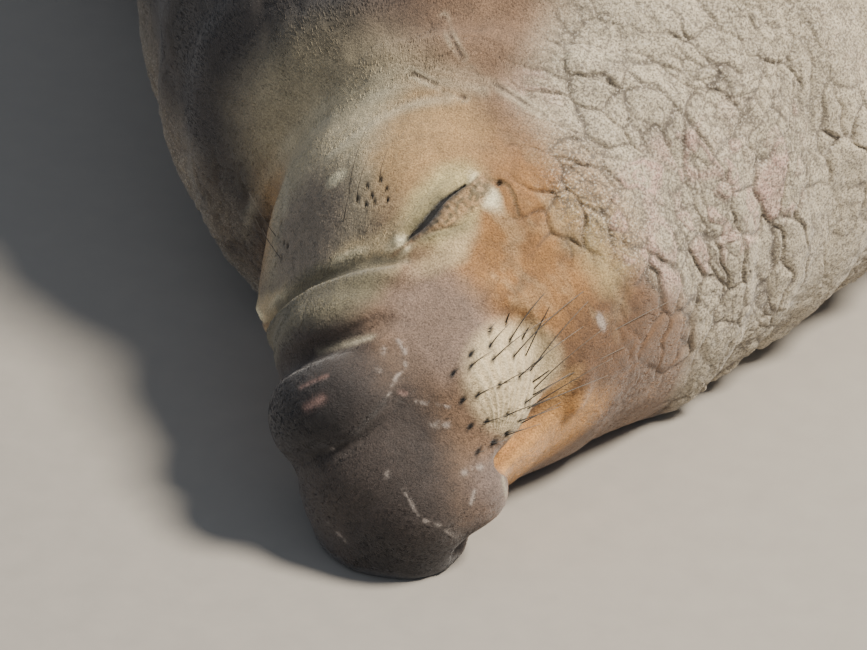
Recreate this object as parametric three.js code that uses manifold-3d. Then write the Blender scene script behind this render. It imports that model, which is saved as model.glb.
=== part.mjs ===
// A bull northern elephant seal asleep on its belly, at life size.
// Lengths are millimetres and angles are degrees. +Z is up, the seal faces -Y and its left side is +X.
// The flesh is described by distance fields, which are negative inside. Each region is turned into a
// closed mesh on a grid as fine as its forms need, and is parted from its neighbours by thin plane cuts.
import * as THREE from "three";
import { mergeVertices } from "three/addons/utils/BufferGeometryUtils.js";
import Module from "manifold-3d";

const wasm = await Module();
wasm.setup();

// Driving sizes of the whole animal.
const GAP = 0.3; // between neighbouring pieces
const EYES = { x: -85, y: -900, z: 192 }; // the point midway between the eyes
const HEAD_TURN = 18; // towards the seal's right
const HEAD_NOD = 7; // nose down
const HEAD_ROLL = 42; // left side up, so that it lies on its right cheek
const TAIL_Y = 2612; // where the hips end and the tail begins
const FLOOR_SINK = 28; // how far the belly would hang below the floor if it weren't pressed flat

// Where the trunk is parted into nodes, and the head's own cuts in the head's frame.
const NECK_END_Y = -470;
const CHEST_END_Y = 420;
const BELLY_END_Y = 1500;
const HEAD_BACK = -112; // forward of the eyes, so behind them
const NECK_RIM = -84;
const NOSE_CUT = { forward: 63, up: 12, lean: 9 };

// Cross-sections of the trunk: half the width, the height of the back, and the midline's sideways place.
const SECTIONS = [
  { y: -960, half: 176, top: 318, mid: -24 },
  { y: -880, half: 192, top: 336, mid: -16 },
  { y: -800, half: 228, top: 368, mid: -6 },
  { y: -635, half: 332, top: 492, mid: 4 },
  { y: -400, half: 438, top: 640, mid: 4 },
  { y: -100, half: 530, top: 752, mid: 0 },
  { y: 300, half: 588, top: 818, mid: 0 },
  { y: 800, half: 572, top: 790, mid: 0 },
  { y: 1350, half: 468, top: 655, mid: 0 },
  { y: 1850, half: 340, top: 480, mid: 0 },
  { y: 2250, half: 236, top: 330, mid: 0 },
  { y: 2480, half: 168, top: 236, mid: 0 },
  { y: 2620, half: 50, top: 128, mid: 0 },
  { y: 2740, half: 26, top: 92, mid: 0 },
];
const WIDEST_AT = 0.42; // height of the widest line, as a share of the height of the back
const BACK_POWER = 2.15; // 2 is an ellipse, and more is squarer
const FLANK_POWER = 2.6;

// Soft folds round the neck: how far behind the eyes, how high, how wide.
const NECK_FOLDS = [
  { behind: 92, height: 9, width: 17 },
  { behind: 142, height: 7, width: 20 },
  { behind: 205, height: 8, width: 24 },
  { behind: 290, height: 9, width: 30 },
  { behind: 385, height: 8, width: 34 },
];

// Forms of the head, each an ellipsoid at (forward, left, up) of the point midway between the eyes.
// Each is joined to those before it with a rounding of blend, and a paired form stands on both sides.
const FACE_FORMS = [
  { name: "cranium", at: [-120, 4, -60], size: [172, 178, 172] },
  { name: "jowls", at: [-84, 0, -150], size: [150, 146, 112], blend: 60 },
  { name: "brow", at: [-44, 58, 4], size: [56, 62, 46], blend: 50, paired: true },
  { name: "nose bridge", at: [20, 0, -50], size: [86, 92, 66], blend: 60 },
  { name: "cheek", at: [6, 64, -104], size: [84, 60, 68], blend: 40, paired: true },
  { name: "lower jaw", at: [4, 0, -196], size: [96, 88, 44], blend: 12 },
];
const NOSE_FORMS = [
  { name: "first roll", at: [80, 10, -34], size: [44, 72, 44] },
  { name: "root of the nose", at: [42, 50, -26], size: [36, 40, 28], blend: 16, paired: true },
  { name: "second roll", at: [124, 0, -80], size: [52, 71, 54], blend: 6 },
  { name: "nose side", at: [84, 0, -104], size: [78, 88, 82], blend: 24 },
  { name: "trunk", at: [122, -8, -152], size: [70, 84, 74], blend: 12 },
  { name: "trunk foot", at: [140, -30, -204], size: [56, 64, 62], blend: 30 },
  { name: "upper lip", at: [84, 60, -158], size: [50, 38, 50], blend: 30, paired: true },
  { name: "nostril side", at: [126, 24, -186], size: [60, 62, 50], blend: 24 },
  { name: "nostril lobe", at: [112, 62, -202], size: [36, 32, 33], blend: 12, paired: true },
];
const WHISKER_PAD = { at: [58, 78, -140], size: [54, 56, 56], blend: 26 };
const NOSE_BLEND = 26;
const MIDLINE_SOFT = 14; // paired forms meet the midline without an edge

// Creases along lines on both sides of the head: how wide, then points with the depth at each.
const CREASES = [
  {
    name: "behind the pad",
    width: 9,
    line: [
      [36, 122, -86, 0],
      [26, 130, -96, 5],
      [14, 132, -112, 13],
      [12, 132, -136, 17],
      [18, 124, -158, 15],
      [32, 110, -180, 8],
      [56, 92, -195, 4],
    ],
  },
  {
    name: "over the first roll",
    width: 8,
    line: [
      [60, 0, 12, 6],
      [60, 30, 11, 6],
      [56, 60, 5, 5],
      [46, 88, -9, 4],
      [36, 104, -20, 0],
    ],
  },
  {
    name: "over the second roll",
    width: 9,
    line: [
      [116, -60, -24, 8],
      [124, 0, -24, 12],
      [112, 46, -31, 12],
      [92, 72, -37, 11],
      [82, 84, -40, 0],
    ],
  },
  {
    name: "over the trunk",
    width: 9,
    line: [
      [172, -50, -88, 4],
      [170, 0, -93, 6],
      [162, 25, -101, 6],
      [149, 50, -101, 7],
      [130, 69, -97, 6],
      [115, 82, -88, 0],
    ],
  },
];
const RIDGES = [
  {
    name: "rim of the first roll",
    width: 8,
    line: [
      [76, 0, 8, 2],
      [72, 40, 6, 3],
      [64, 74, -4, 4],
      [52, 96, -18, 3],
      [44, 104, -28, 0],
    ],
  },
  {
    name: "fold behind the lips",
    width: 8,
    line: [
      [-34, 128, -156, 0],
      [-24, 122, -176, 8],
      [-18, 116, -194, 9],
      [-6, 104, -210, 7],
      [12, 92, -222, 0],
    ],
  },
];

// The line of the mouth, seen from the side: forward of the eyes and up, from the lips to the corner.
const MOUTH_LINE = [
  [100, -199],
  [60, -197],
  [38, -195],
  [14, -190],
  [-12, -184],
];
const MOUTH_DEPTH = 13;
const MOUTH_WIDTH = 9;

// The eye is a ball under closed lids, and their slit runs from its inner to its outer corner.
const EYE = { at: [-8, 93, -6], radius: 33, mound: [42, 32, 30], blend: 34 };
const SLIT = { inner: [31, 110, 2], outer: [-26, 141, 4], half: 2.2, deep: 17 };
const EAR = { at: [-66, 150, -22], radius: 6, depth: 26 };
const NOSTRIL = { at: [118, 34, -238], size: [26, 9, 24] };

// Flippers, in a frame at the wrist or ankle: x to the tips, y across and z out of the upper side.
// The arm runs back from there into the body, and five digits in a web run out from it.
const FORE = {
  root: [500, -60, 92],
  cut: { at: [548, 0, 0], facing: [1, 0, 0] },
  splay: 42,
  lean: 0,
  fall: 84,
  arm: { length: 150, half: 92, thick: 56 },
  lengths: [420, 412, 380, 335, 285],
  fan: [-13, -4, 6, 17, 29],
  across: [-54, -28, 0, 27, 52],
  thick: [27, 22, 20, 19, 20],
  tip: 10,
  web: { thick: 11, edge: 5, reach: 0.88 },
};
const CLAW = { length: 48, radius: 7.5, droop: 9, root: 0.95 };

// Hind flippers stand nearly on edge behind the animal, sole to sole.
const HIND = {
  root: [122, 2560, 112],
  cut: { at: [0, 2600, 0], facing: [0, 1, 0] },
  splay: 8,
  lean: 42,
  fall: 0,
  arm: { length: 130, half: 66, thick: 48 },
  lengths: [470, 400, 352, 392, 455],
  fan: [-21, -10.5, 0, 10.5, 21],
  across: [-40, -20, 0, 20, 40],
  thick: [27, 19, 17, 19, 26],
  tip: 9,
  web: { thick: 9, edge: 4, reach: 0.86 },
};
const DIGIT_STEPS = 4; // columns of the mesh from one digit to the next
const ARM_RINGS = 3;
const HAND_RINGS = 8;

const rad = THREE.MathUtils.degToRad;
const smooth = THREE.MathUtils.smoothstep;

// The lower of two distances, with the corner between them rounded over k.
function join(a, b, k) {
  const h = Math.max(k - Math.abs(a - b), 0) / k;
  return Math.min(a, b) - (h * h * k) / 4;
}

// Solid a with solid b taken out of it.
function carve(a, b, k) {
  return -join(-a, b, k);
}

function bump(distance, width) {
  return Math.exp(-((distance / width) ** 2));
}

function ellipsoid(x, y, z, [cx, cy, cz], [rx, ry, rz]) {
  const u = (x - cx) / rx;
  const v = (y - cy) / ry;
  const w = (z - cz) / rz;
  const near = Math.hypot(u, v, w);
  const slope = Math.hypot(u / rx, v / ry, w / rz);
  return slope > 0 ? (near * (near - 1)) / slope : -Math.min(rx, ry, rz);
}

// A smooth line through a table's rows: rows are sorted by the field named key.
function between(rows, key, field, at) {
  const last = rows.length - 1;
  const x = Math.min(Math.max(at, rows[0][key]), rows[last][key]);
  let i = 0;
  while (i < last - 1 && x > rows[i + 1][key]) i++;
  const slope = (j) => {
    const a = rows[Math.max(j - 1, 0)];
    const b = rows[Math.min(j + 1, last)];
    return (b[field] - a[field]) / (b[key] - a[key]);
  };
  const span = rows[i + 1][key] - rows[i][key];
  const t = (x - rows[i][key]) / span;
  const [p, q] = [rows[i][field], rows[i + 1][field]];
  const [m, n] = [slope(i) * span, slope(i + 1) * span];
  const t2 = t * t;
  const t3 = t2 * t;
  return p * (2 * t3 - 3 * t2 + 1) + m * (t3 - 2 * t2 + t) + q * (3 * t2 - 2 * t3) + n * (t3 - t2);
}

// Frames: each is a matrix from its own coordinates to the seal's.
function frameAt(origin, forward, left, up) {
  return new THREE.Matrix4().makeBasis(forward, left, up).setPosition(...origin);
}

function headFrame() {
  const turn = rad(HEAD_TURN);
  const nod = rad(HEAD_NOD);
  const level = Math.cos(nod);
  const forward = new THREE.Vector3(-Math.sin(turn) * level, -Math.cos(turn) * level, -Math.sin(nod));
  const left = new THREE.Vector3(Math.cos(turn), -Math.sin(turn), 0).applyAxisAngle(forward, rad(HEAD_ROLL));
  const up = new THREE.Vector3().crossVectors(forward, left);
  return frameAt([EYES.x, EYES.y, EYES.z], forward, left, up);
}

// A flipper's frame. side is 1 on the left and -1 on the right, and lean turns the inner edge up.
function flipperFrame(limb, side) {
  const splay = rad(limb.splay);
  const along = new THREE.Vector3(side * Math.sin(splay), Math.cos(splay), 0);
  const across = new THREE.Vector3(0, 0, 1).cross(along).normalize();
  across.applyAxisAngle(along, side * rad(limb.lean));
  const out = new THREE.Vector3().crossVectors(along, across);
  return frameAt([side * limb.root[0], limb.root[1], limb.root[2]], along, across, out);
}

const HEAD = headFrame();
const INTO_HEAD = HEAD.clone().invert();
const scratch = new THREE.Vector3();

// The trunk, from the back of the head to the root of the tail.
function trunk(x, y, z) {
  const half = between(SECTIONS, "y", "half", y);
  const top = between(SECTIONS, "y", "top", y);
  const mid = between(SECTIONS, "y", "mid", y);
  const widest = WIDEST_AT * top;
  const above = z > widest;
  const rise = above ? top - widest : widest + FLOOR_SINK;
  const power = above ? BACK_POWER : FLANK_POWER;
  const u = Math.abs((x - mid) / half);
  const v = Math.abs((z - widest) / rise);
  const round = (u ** power + v ** power) ** (1 / power);
  const side = (round - 1) * Math.min(half, rise);
  const behind = y - EYES.y;
  let fold = 0;
  for (const f of NECK_FOLDS) fold += f.height * bump(behind - f.behind - 0.1 * (x - mid), f.width);
  const rim = scratch.set(x, y, z).applyMatrix4(INTO_HEAD).x - NECK_RIM;
  const end = Math.max(rim, y - SECTIONS[SECTIONS.length - 1].y);
  return carve(side - fold, -end, 55);
}

// The mouth line's height above the eyes, at a distance forward of them.
const MOUTH_ROWS = [...MOUTH_LINE].reverse().map(([forward, up]) => ({ forward, up }));
function mouthHeight(forward) {
  return between(MOUTH_ROWS, "forward", "up", forward);
}

function joined(forms, f, l, side, u) {
  let d;
  for (const form of forms) {
    const near = ellipsoid(f, form.paired ? side : l, u, form.at, form.size);
    d = d === undefined ? near : join(d, near, form.blend);
  }
  return d;
}

// How far a groove along a line reaches at a point.
function groove([f, l, u], { width, line }) {
  let deep = 0;
  for (let i = 0; i + 1 < line.length; i++) {
    const [a, b] = [line[i], line[i + 1]];
    const way = [b[0] - a[0], b[1] - a[1], b[2] - a[2]];
    const off = [f - a[0], l - a[1], u - a[2]];
    const length = Math.hypot(...way);
    const along = (off[0] * way[0] + off[1] * way[1] + off[2] * way[2]) / length ** 2;
    const t = THREE.MathUtils.clamp(along, 0, 1);
    const near = Math.hypot(off[0] - t * way[0], off[1] - t * way[1], off[2] - t * way[2]);
    deep = Math.max(deep, THREE.MathUtils.lerp(a[3], b[3], t) * bump(near, width));
  }
  return deep;
}

// The head, in its own frame.
function headForms(f, l, u) {
  const side = Math.hypot(l, MIDLINE_SOFT);
  let d = join(joined(FACE_FORMS, f, l, side, u), joined(NOSE_FORMS, f, l, side, u), NOSE_BLEND);
  d = join(d, ellipsoid(f, side, u, WHISKER_PAD.at, WHISKER_PAD.size), WHISKER_PAD.blend);
  d = join(d, ellipsoid(f, side, u, EYE.at, EYE.mound), EYE.blend);
  // The mouth is a groove that fades at its corner, and under the trunk.
  const corner = MOUTH_LINE[MOUTH_LINE.length - 1][0];
  const shown = smooth(f, corner, corner + 26) * smooth(-f, -104, -84);
  d += MOUTH_DEPTH * shown * bump(u - mouthHeight(f), MOUTH_WIDTH);
  // A line that begins left of the midline is in the middle of the nose. The others are paired.
  const across = ({ line }) => (line[0][1] < 0 ? l : side);
  d -= Math.max(...RIDGES.map((ridge) => groove([f, across(ridge), u], ridge)));
  d += Math.max(...CREASES.map((crease) => groove([f, across(crease), u], crease)));
  return carve(d, ellipsoid(f, side, u, NOSTRIL.at, NOSTRIL.size), 8);
}

function headAndNeck(x, y, z) {
  const p = scratch.set(x, y, z).applyMatrix4(INTO_HEAD);
  const head = headForms(p.x, p.y, p.z);
  return join(head, trunk(x, y, z), 26);
}

// How far the hand has sunk towards the floor at u, from the wrist to the tips.
function fallAt(limb, u) {
  return limb.fall * Math.sin((Math.PI / 2) * u);
}

// One ring of a flipper at u, from -1 in the body over 0 at the wrist to 1 at the tips.
function flipperRing(limb, side, u) {
  const { arm, web, lengths, fan, across, thick } = limb;
  const columns = (lengths.length - 1) * DIGIT_STEPS;
  const hand = Math.max(u, 0);
  const low = -fallAt(limb, hand);
  const top = [];
  for (let c = 0; c <= columns; c++) {
    const i = Math.min(Math.floor(c / DIGIT_STEPS), lengths.length - 2);
    const q = c / DIGIT_STEPS - i;
    const mix = (list) => THREE.MathUtils.lerp(list[i], list[i + 1], q);
    const ridge = (1 + Math.cos(2 * Math.PI * q)) / 2;
    const reach = mix(lengths) * THREE.MathUtils.lerp(web.reach, 1, ridge);
    const turn = rad(mix(fan));
    const t = (2 * c) / columns - 1;
    const armThick = arm.thick * Math.sqrt(1 - 0.8 * t * t);
    const digit = THREE.MathUtils.lerp(mix(thick), limb.tip, hand);
    const handThick = THREE.MathUtils.lerp(THREE.MathUtils.lerp(web.thick, web.edge, hand), digit, ridge);
    const wrist = smooth(u, -0.5, 0.45);
    top.push({
      x: u < 0 ? u * arm.length : u * reach * Math.cos(turn),
      y: THREE.MathUtils.lerp(t * arm.half, mix(across), wrist) + hand * reach * Math.sin(turn),
      z: u === 1 ? 0 : THREE.MathUtils.lerp(armThick, handThick, wrist),
    });
  }
  const [first, last] = [top[0], top[top.length - 1]];
  const ring = [[first.x, first.y - first.z, low], ...top.map((p) => [p.x, p.y, low + p.z])];
  ring.push([last.x, last.y + last.z, low], ...top.reverse().map((p) => [p.x, p.y, low - p.z]));
  return ring.map(([x, y, z]) => [x, side * y, z]);
}

// A flipper in its own frame: rings from the arm to the tips, closed at both ends.
function flipperSolid(limb, side) {
  const rings = [];
  for (let k = 0; k < ARM_RINGS; k++) rings.push(flipperRing(limb, side, k / ARM_RINGS - 1));
  for (let k = 0; k <= HAND_RINGS; k++) rings.push(flipperRing(limb, side, k / HAND_RINGS));
  const count = rings[0].length;
  const positions = rings.flat(2);
  positions.push(-limb.arm.length, 0, 0);
  const centre = rings.length * count;
  const index = [];
  for (let k = 0; k < rings.length - 1; k++)
    for (let i = 0; i < count; i++) {
      const [a, b] = [k * count + i, k * count + ((i + 1) % count)];
      index.push(a, b, b + count, a, b + count, a + count);
    }
  for (let i = 0; i < count; i++) index.push(centre, (i + 1) % count, i);
  const shape = new THREE.BufferGeometry();
  shape.setAttribute("position", new THREE.Float32BufferAttribute(positions, 3));
  shape.setIndex(index);
  return solidFrom(shape);
}

// A closed mesh of a field, by surface nets on a grid of cells, in the frame that place gives.
function skin(field, place, low, high, cell) {
  const n = [0, 1, 2].map((a) => Math.ceil((high[a] - low[a]) / cell[a]) + 1);
  const at = (i, j, k) => (i * n[1] + j) * n[2] + k;
  const value = new Float64Array(n[0] * n[1] * n[2]);
  const point = new THREE.Vector3();
  const sample = (x, y, z) => {
    point.set(x, y, z).applyMatrix4(place);
    return field(point.x, point.y, point.z);
  };
  const edge = (i, j, k) => [i, j, k].some((v, a) => v === 0 || v === n[a] - 1);
  for (let i = 0; i < n[0]; i++)
    for (let j = 0; j < n[1]; j++)
      for (let k = 0; k < n[2]; k++) {
        const d = sample(low[0] + i * cell[0], low[1] + j * cell[1], low[2] + k * cell[2]);
        value[at(i, j, k)] = edge(i, j, k) ? Math.max(d, 1) : d;
      }
  const vertexOf = new Int32Array(value.length).fill(-1);
  const positions = [];
  const corners = [0, 1, 2, 3, 4, 5, 6, 7].map((c) => [c & 1, (c >> 1) & 1, (c >> 2) & 1]);
  const edges = corners.flatMap((a, i) => corners.slice(i + 1).flatMap((b) => {
    const apart = Math.abs(a[0] - b[0]) + Math.abs(a[1] - b[1]) + Math.abs(a[2] - b[2]);
    return apart === 1 ? [[a, b]] : [];
  }));
  for (let i = 0; i < n[0] - 1; i++)
    for (let j = 0; j < n[1] - 1; j++)
      for (let k = 0; k < n[2] - 1; k++) {
        const sum = [0, 0, 0];
        let crossings = 0;
        for (const [a, b] of edges) {
          const va = value[at(i + a[0], j + a[1], k + a[2])];
          const vb = value[at(i + b[0], j + b[1], k + b[2])];
          if (va < 0 === vb < 0) continue;
          const t = va / (va - vb);
          for (let m = 0; m < 3; m++) sum[m] += a[m] + t * (b[m] - a[m]);
          crossings++;
        }
        if (!crossings) continue;
        vertexOf[at(i, j, k)] = positions.length / 3;
        const p = [i, j, k].map((v, m) => low[m] + (v + sum[m] / crossings) * cell[m]);
        const rim = [i, j, k].some((v, m) => v === 0 || v === n[m] - 2);
        positions.push(...(rim ? p : settle(p, sample, Math.min(...cell) * 0.35)));
      }
  const triangles = [];
  const quad = (a, b, c, d, flip) => {
    const v = flip ? [a, d, c, b] : [a, b, c, d];
    triangles.push(v[0], v[1], v[2], v[0], v[2], v[3]);
  };
  for (let i = 0; i < n[0] - 1; i++)
    for (let j = 0; j < n[1] - 1; j++)
      for (let k = 0; k < n[2] - 1; k++) {
        const inside = value[at(i, j, k)] < 0;
        const v = (di, dj, dk) => vertexOf[at(i + di, j + dj, k + dk)];
        const leaves = (di, dj, dk) => inside !== value[at(i + di, j + dj, k + dk)] < 0;
        if (leaves(1, 0, 0)) quad(v(0, 0, 0), v(0, -1, 0), v(0, -1, -1), v(0, 0, -1), inside);
        if (leaves(0, 1, 0)) quad(v(0, 0, 0), v(0, 0, -1), v(-1, 0, -1), v(-1, 0, 0), inside);
        if (leaves(0, 0, 1)) quad(v(0, 0, 0), v(-1, 0, 0), v(-1, -1, 0), v(0, -1, 0), inside);
      }
  return solidOf(new Float32Array(positions), new Uint32Array(triangles));
}

// Moves a point onto the surface of a field, no further than reach.
function settle(start, sample, reach) {
  const step = 0.5;
  let p = [...start];
  for (let pass = 0; pass < 3; pass++) {
    const d = sample(...p);
    const slope = [0, 1, 2].map((a) => {
      const q = [...p];
      q[a] += step;
      return (sample(...q) - d) / step;
    });
    const steep = slope[0] ** 2 + slope[1] ** 2 + slope[2] ** 2;
    if (steep < 0.05) break;
    p = p.map((v, a) => v - (d * slope[a]) / steep);
    p = p.map((v, a) => THREE.MathUtils.clamp(v, start[a] - reach, start[a] + reach));
  }
  return p;
}

function solidOf(vertProperties, triVerts) {
  const made = new wasm.Manifold(new wasm.Mesh({ numProp: 3, vertProperties, triVerts }));
  if (made.volume() > 0) return made;
  return new wasm.Manifold(new wasm.Mesh({ numProp: 3, vertProperties, triVerts: triVerts.reverse() }));
}

function solidFrom(geometry) {
  const bare = geometry.index ? geometry.toNonIndexed() : geometry.clone();
  for (const name of ["normal", "uv"]) bare.deleteAttribute(name);
  const merged = mergeVertices(bare, 1e-3);
  const corners = merged.index.array;
  const kept = [];
  for (let i = 0; i < corners.length; i += 3) {
    const [a, b, c] = corners.subarray(i, i + 3);
    if (a !== b && b !== c && c !== a) kept.push(a, b, c);
  }
  return solidOf(merged.attributes.position.array, new Uint32Array(kept));
}

function geometryFrom(solid) {
  const mesh = largest(solid).getMesh();
  const geometry = new THREE.BufferGeometry();
  geometry.setAttribute("position", new THREE.BufferAttribute(new Float32Array(mesh.vertProperties), 3));
  geometry.setIndex(new THREE.BufferAttribute(new Uint32Array(mesh.triVerts), 1));
  geometry.computeVertexNormals();
  return geometry;
}

function largest(solid) {
  return solid.decompose().reduce((a, b) => (b.volume() > a.volume() ? b : a));
}

// Everything on the side of a plane that normal points to, seen from the frame place.
function beyond(point, normal, place = new THREE.Matrix4()) {
  const size = 9000;
  const box = new THREE.BoxGeometry(size, size, size).translate(0, 0, size / 2);
  const facing = new THREE.Vector3(...normal).normalize();
  const turn = new THREE.Quaternion().setFromUnitVectors(new THREE.Vector3(0, 0, 1), facing);
  box.applyQuaternion(turn).translate(...point).applyMatrix4(place.clone().invert());
  return solidFrom(box);
}

// The two sides of a plane cut, with half the gap left on each.
function part(solid, point, normal, place) {
  const unit = new THREE.Vector3(...normal).normalize();
  const shift = (by) => point.map((v, a) => v + by * unit.getComponent(a));
  const front = solid.intersect(beyond(shift(GAP / 2), normal, place));
  const back = solid.intersect(beyond(shift(-GAP / 2), normal.map((v) => -v), place));
  return [front, back];
}

const overFloor = (place) => beyond([0, 0, 0], [0, 0, 1], place);
const IDENTITY = new THREE.Matrix4();

// The head's solids, in the head's frame.
function makeHead() {
  let flesh = skin(headAndNeck, HEAD, [-150, -240, -300], [272, 240, 175], [14.6, 14.6, 14.6]);
  flesh = flesh.intersect(overFloor(HEAD)).intersect(beyond([HEAD_BACK + GAP / 2, 0, 0], [1, 0, 0]));
  const eyes = [1, -1].map((side) => {
    const centre = [EYE.at[0], side * EYE.at[1], EYE.at[2]];
    flesh = flesh.subtract(ball(centre, EYE.radius + GAP)).subtract(eyeSlit(side)).subtract(earHole(side));
    return ball(centre, EYE.radius);
  });
  const lean = rad(NOSE_CUT.lean);
  const [nose, face] = part(flesh, [NOSE_CUT.forward, 0, NOSE_CUT.up], [Math.cos(lean), 0, Math.sin(lean)]);
  const jaw = face.intersect(jawBlock(-GAP / 2));
  const skull = face.subtract(jawBlock(GAP / 2));
  return { head: skull, proboscis: nose, lower_jaw: jaw, eye_left: eyes[0], eye_right: eyes[1] };
}

function ball(centre, radius) {
  return solidFrom(new THREE.SphereGeometry(radius, 16, 12).translate(...centre));
}

// A funnel into the side of the head.
function earHole(side) {
  const [forward, left, up] = EAR.at;
  const funnel = new THREE.CylinderGeometry(EAR.radius * 1.6, EAR.radius * 0.6, EAR.depth, 10);
  if (side < 0) funnel.rotateX(Math.PI);
  return solidFrom(funnel.translate(forward, side * left, up));
}

// The slit between the closed lids, a thin lens that reaches down to the ball.
function eyeSlit(side) {
  const inner = new THREE.Vector3(...SLIT.inner);
  const outer = new THREE.Vector3(...SLIT.outer);
  const middle = inner.clone().lerp(outer, 0.5);
  const along = outer.clone().sub(inner);
  const half = along.length() / 2;
  along.normalize();
  const out = middle.clone().sub(new THREE.Vector3(...EYE.at));
  const across = new THREE.Vector3().crossVectors(out, along).normalize();
  out.crossVectors(along, across);
  const lens = new THREE.SphereGeometry(1, 12, 8).scale(half, SLIT.half, SLIT.deep);
  lens.applyMatrix4(new THREE.Matrix4().makeBasis(along, across, out).setPosition(middle)).scale(1, side, 1);
  return solidFrom(lens);
}

// The space under the mouth line and before the hinge of the jaw, grown by a margin.
function jawBlock(margin) {
  const front = MOUTH_LINE[0][0];
  const hinge = MOUTH_LINE[MOUTH_LINE.length - 1][0];
  const outline = [new THREE.Vector2(front, -400)];
  for (let i = 0; i <= 12; i++) {
    const f = THREE.MathUtils.lerp(front, hinge, i / 12);
    outline.push(new THREE.Vector2(i < 12 ? f : hinge - margin, mouthHeight(f) + margin));
  }
  outline.push(new THREE.Vector2(hinge - margin, -400));
  const block = new THREE.ExtrudeGeometry(new THREE.Shape(outline), { depth: 600, bevelEnabled: false });
  return solidFrom(block.rotateX(Math.PI / 2).translate(0, 300, 0));
}

// The trunk's nodes, in the seal's own frame.
function makeTrunk() {
  const headBack = new THREE.Vector3(HEAD_BACK - GAP / 2, 0, 0).applyMatrix4(HEAD);
  const backward = new THREE.Vector3(-1, 0, 0).transformDirection(HEAD);
  const behindHead = beyond(headBack.toArray(), backward.toArray());
  const floor = overFloor(IDENTITY);
  const piece = (low, high, cell, from, to) => {
    let s = skin(headAndNeck, IDENTITY, low, high, cell).intersect(floor);
    if (from !== undefined) s = s.intersect(beyond([0, from + GAP / 2, 0], [0, 1, 0]));
    if (to !== undefined) s = s.intersect(beyond([0, to - GAP / 2, 0], [0, -1, 0]));
    return s;
  };
  const neck = piece([-480, -930, -80], [480, NECK_END_Y + 60, 660], [43, 34, 43], undefined, NECK_END_Y);
  const wide = [88, 124, 88];
  const body = (from, to) => piece([-700, from - 120, -110], [700, to + 120, 920], wide, from, to);
  return {
    neck: neck.intersect(behindHead),
    chest: body(NECK_END_Y, CHEST_END_Y),
    belly: body(CHEST_END_Y, BELLY_END_Y),
    hips: piece([-520, BELLY_END_Y - 90, -90], [520, TAIL_Y + 90, 700], [80, 108, 80], BELLY_END_Y, TAIL_Y),
    tail: piece([-90, TAIL_Y - 30, -50], [90, TAIL_Y + 170, 190], [18, 22, 18], TAIL_Y, undefined),
  };
}

// A claw along x, curved downwards and grown by a margin.
function claw(margin) {
  const sides = 6;
  const rings = 4;
  const { length, radius, droop } = CLAW;
  const shape = new THREE.CylinderGeometry(radius + margin, 1.2 + margin, length + margin, sides, rings);
  shape.rotateZ(Math.PI / 2).translate(length / 2, 0, 0);
  const p = shape.attributes.position;
  for (let i = 0; i < p.count; i++) {
    const t = p.getX(i) / length;
    p.setZ(i, p.getZ(i) - droop * t * t);
  }
  return solidFrom(shape);
}

// A flipper's blade and the stub that joins its neighbour's body, with claws where it has them.
function makeFlipper(limb, side, clawed) {
  const place = flipperFrame(limb, side);
  const floor = overFloor(place);
  let flesh = flipperSolid(limb, side).intersect(floor);
  const claws = [];
  if (clawed)
    limb.lengths.forEach((length, i) => {
      const turn = rad(limb.fan[i]);
      const root = length * CLAW.root;
      const across = side * (limb.across[i] + root * Math.sin(turn));
      const at = [root * Math.cos(turn), across, 4 - fallAt(limb, CLAW.root)];
      const put = (s) => s.rotate([0, 0, side * limb.fan[i]]).translate(at);
      flesh = flesh.subtract(put(claw(GAP)));
      claws.push(put(claw(0)).intersect(floor));
    });
  const mirror = ([a, b, c]) => [side * a, b, c];
  const [blade, stub] = part(flesh, mirror(limb.cut.at), mirror(limb.cut.facing), place);
  return { place, blade, stub, claws };
}

function mesh(name, solid, colour, roughness) {
  const material = new THREE.MeshStandardMaterial({ color: colour, roughness, metalness: 0 });
  const made = new THREE.Mesh(geometryFrom(solid), material);
  made.name = name;
  return made;
}

function group(place, ...children) {
  const made = new THREE.Group();
  made.applyMatrix4(place);
  return made.add(...children);
}

function moved(solid, place) {
  return solid.transform(place.elements);
}

const EYE_BROWN = 0x241a14;
const HIDE = {
  head: 0x9c7a5c,
  proboscis: 0x6e5a50,
  lower_jaw: 0xa07048,
  neck: 0x8f6b58,
  chest: 0x9a8478,
  eye_left: EYE_BROWN,
  eye_right: EYE_BROWN,
};
const HIDE_PLAIN = 0x8a6d5a;

function makeSeal() {
  const headSolids = makeHead();
  const trunkSolids = makeTrunk();
  const limbs = [];
  for (const [sideName, side] of [["left", 1], ["right", -1]]) {
    const fore = makeFlipper(FORE, side, true);
    const hind = makeFlipper(HIND, side, false);
    const digit = fore.claws.map((c, i) => mesh(`claw_${sideName}_${i + 1}`, c, 0x2b2624, 0.4));
    limbs.push(group(fore.place, mesh(`fore_flipper_${sideName}`, fore.blade, HIDE_PLAIN, 0.6), ...digit));
    limbs.push(group(hind.place, mesh(`hind_flipper_${sideName}`, hind.blade, HIDE_PLAIN, 0.6)));
    trunkSolids.chest = trunkSolids.chest.add(moved(fore.stub, fore.place));
    trunkSolids.hips = trunkSolids.hips.add(moved(hind.stub, hind.place));
  }
  const named = (solids) =>
    Object.entries(solids).map(([name, solid]) => mesh(name, solid, HIDE[name] ?? HIDE_PLAIN, 0.6));
  const seal = new THREE.Group();
  seal.add(group(HEAD, ...named(headSolids)), group(IDENTITY, ...named(trunkSolids)), ...limbs);
  // The origin is under the middle of the animal, on the floor.
  seal.updateMatrixWorld(true);
  const box = new THREE.Box3().setFromObject(seal, true);
  seal.position.set(-(box.min.x + box.max.x) / 2, -(box.min.y + box.max.y) / 2, -box.min.z);
  return seal;
}

export default makeSeal();
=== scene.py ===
import math

import bmesh
import bpy
import numpy as np
from mathutils import Matrix, Vector


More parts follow.
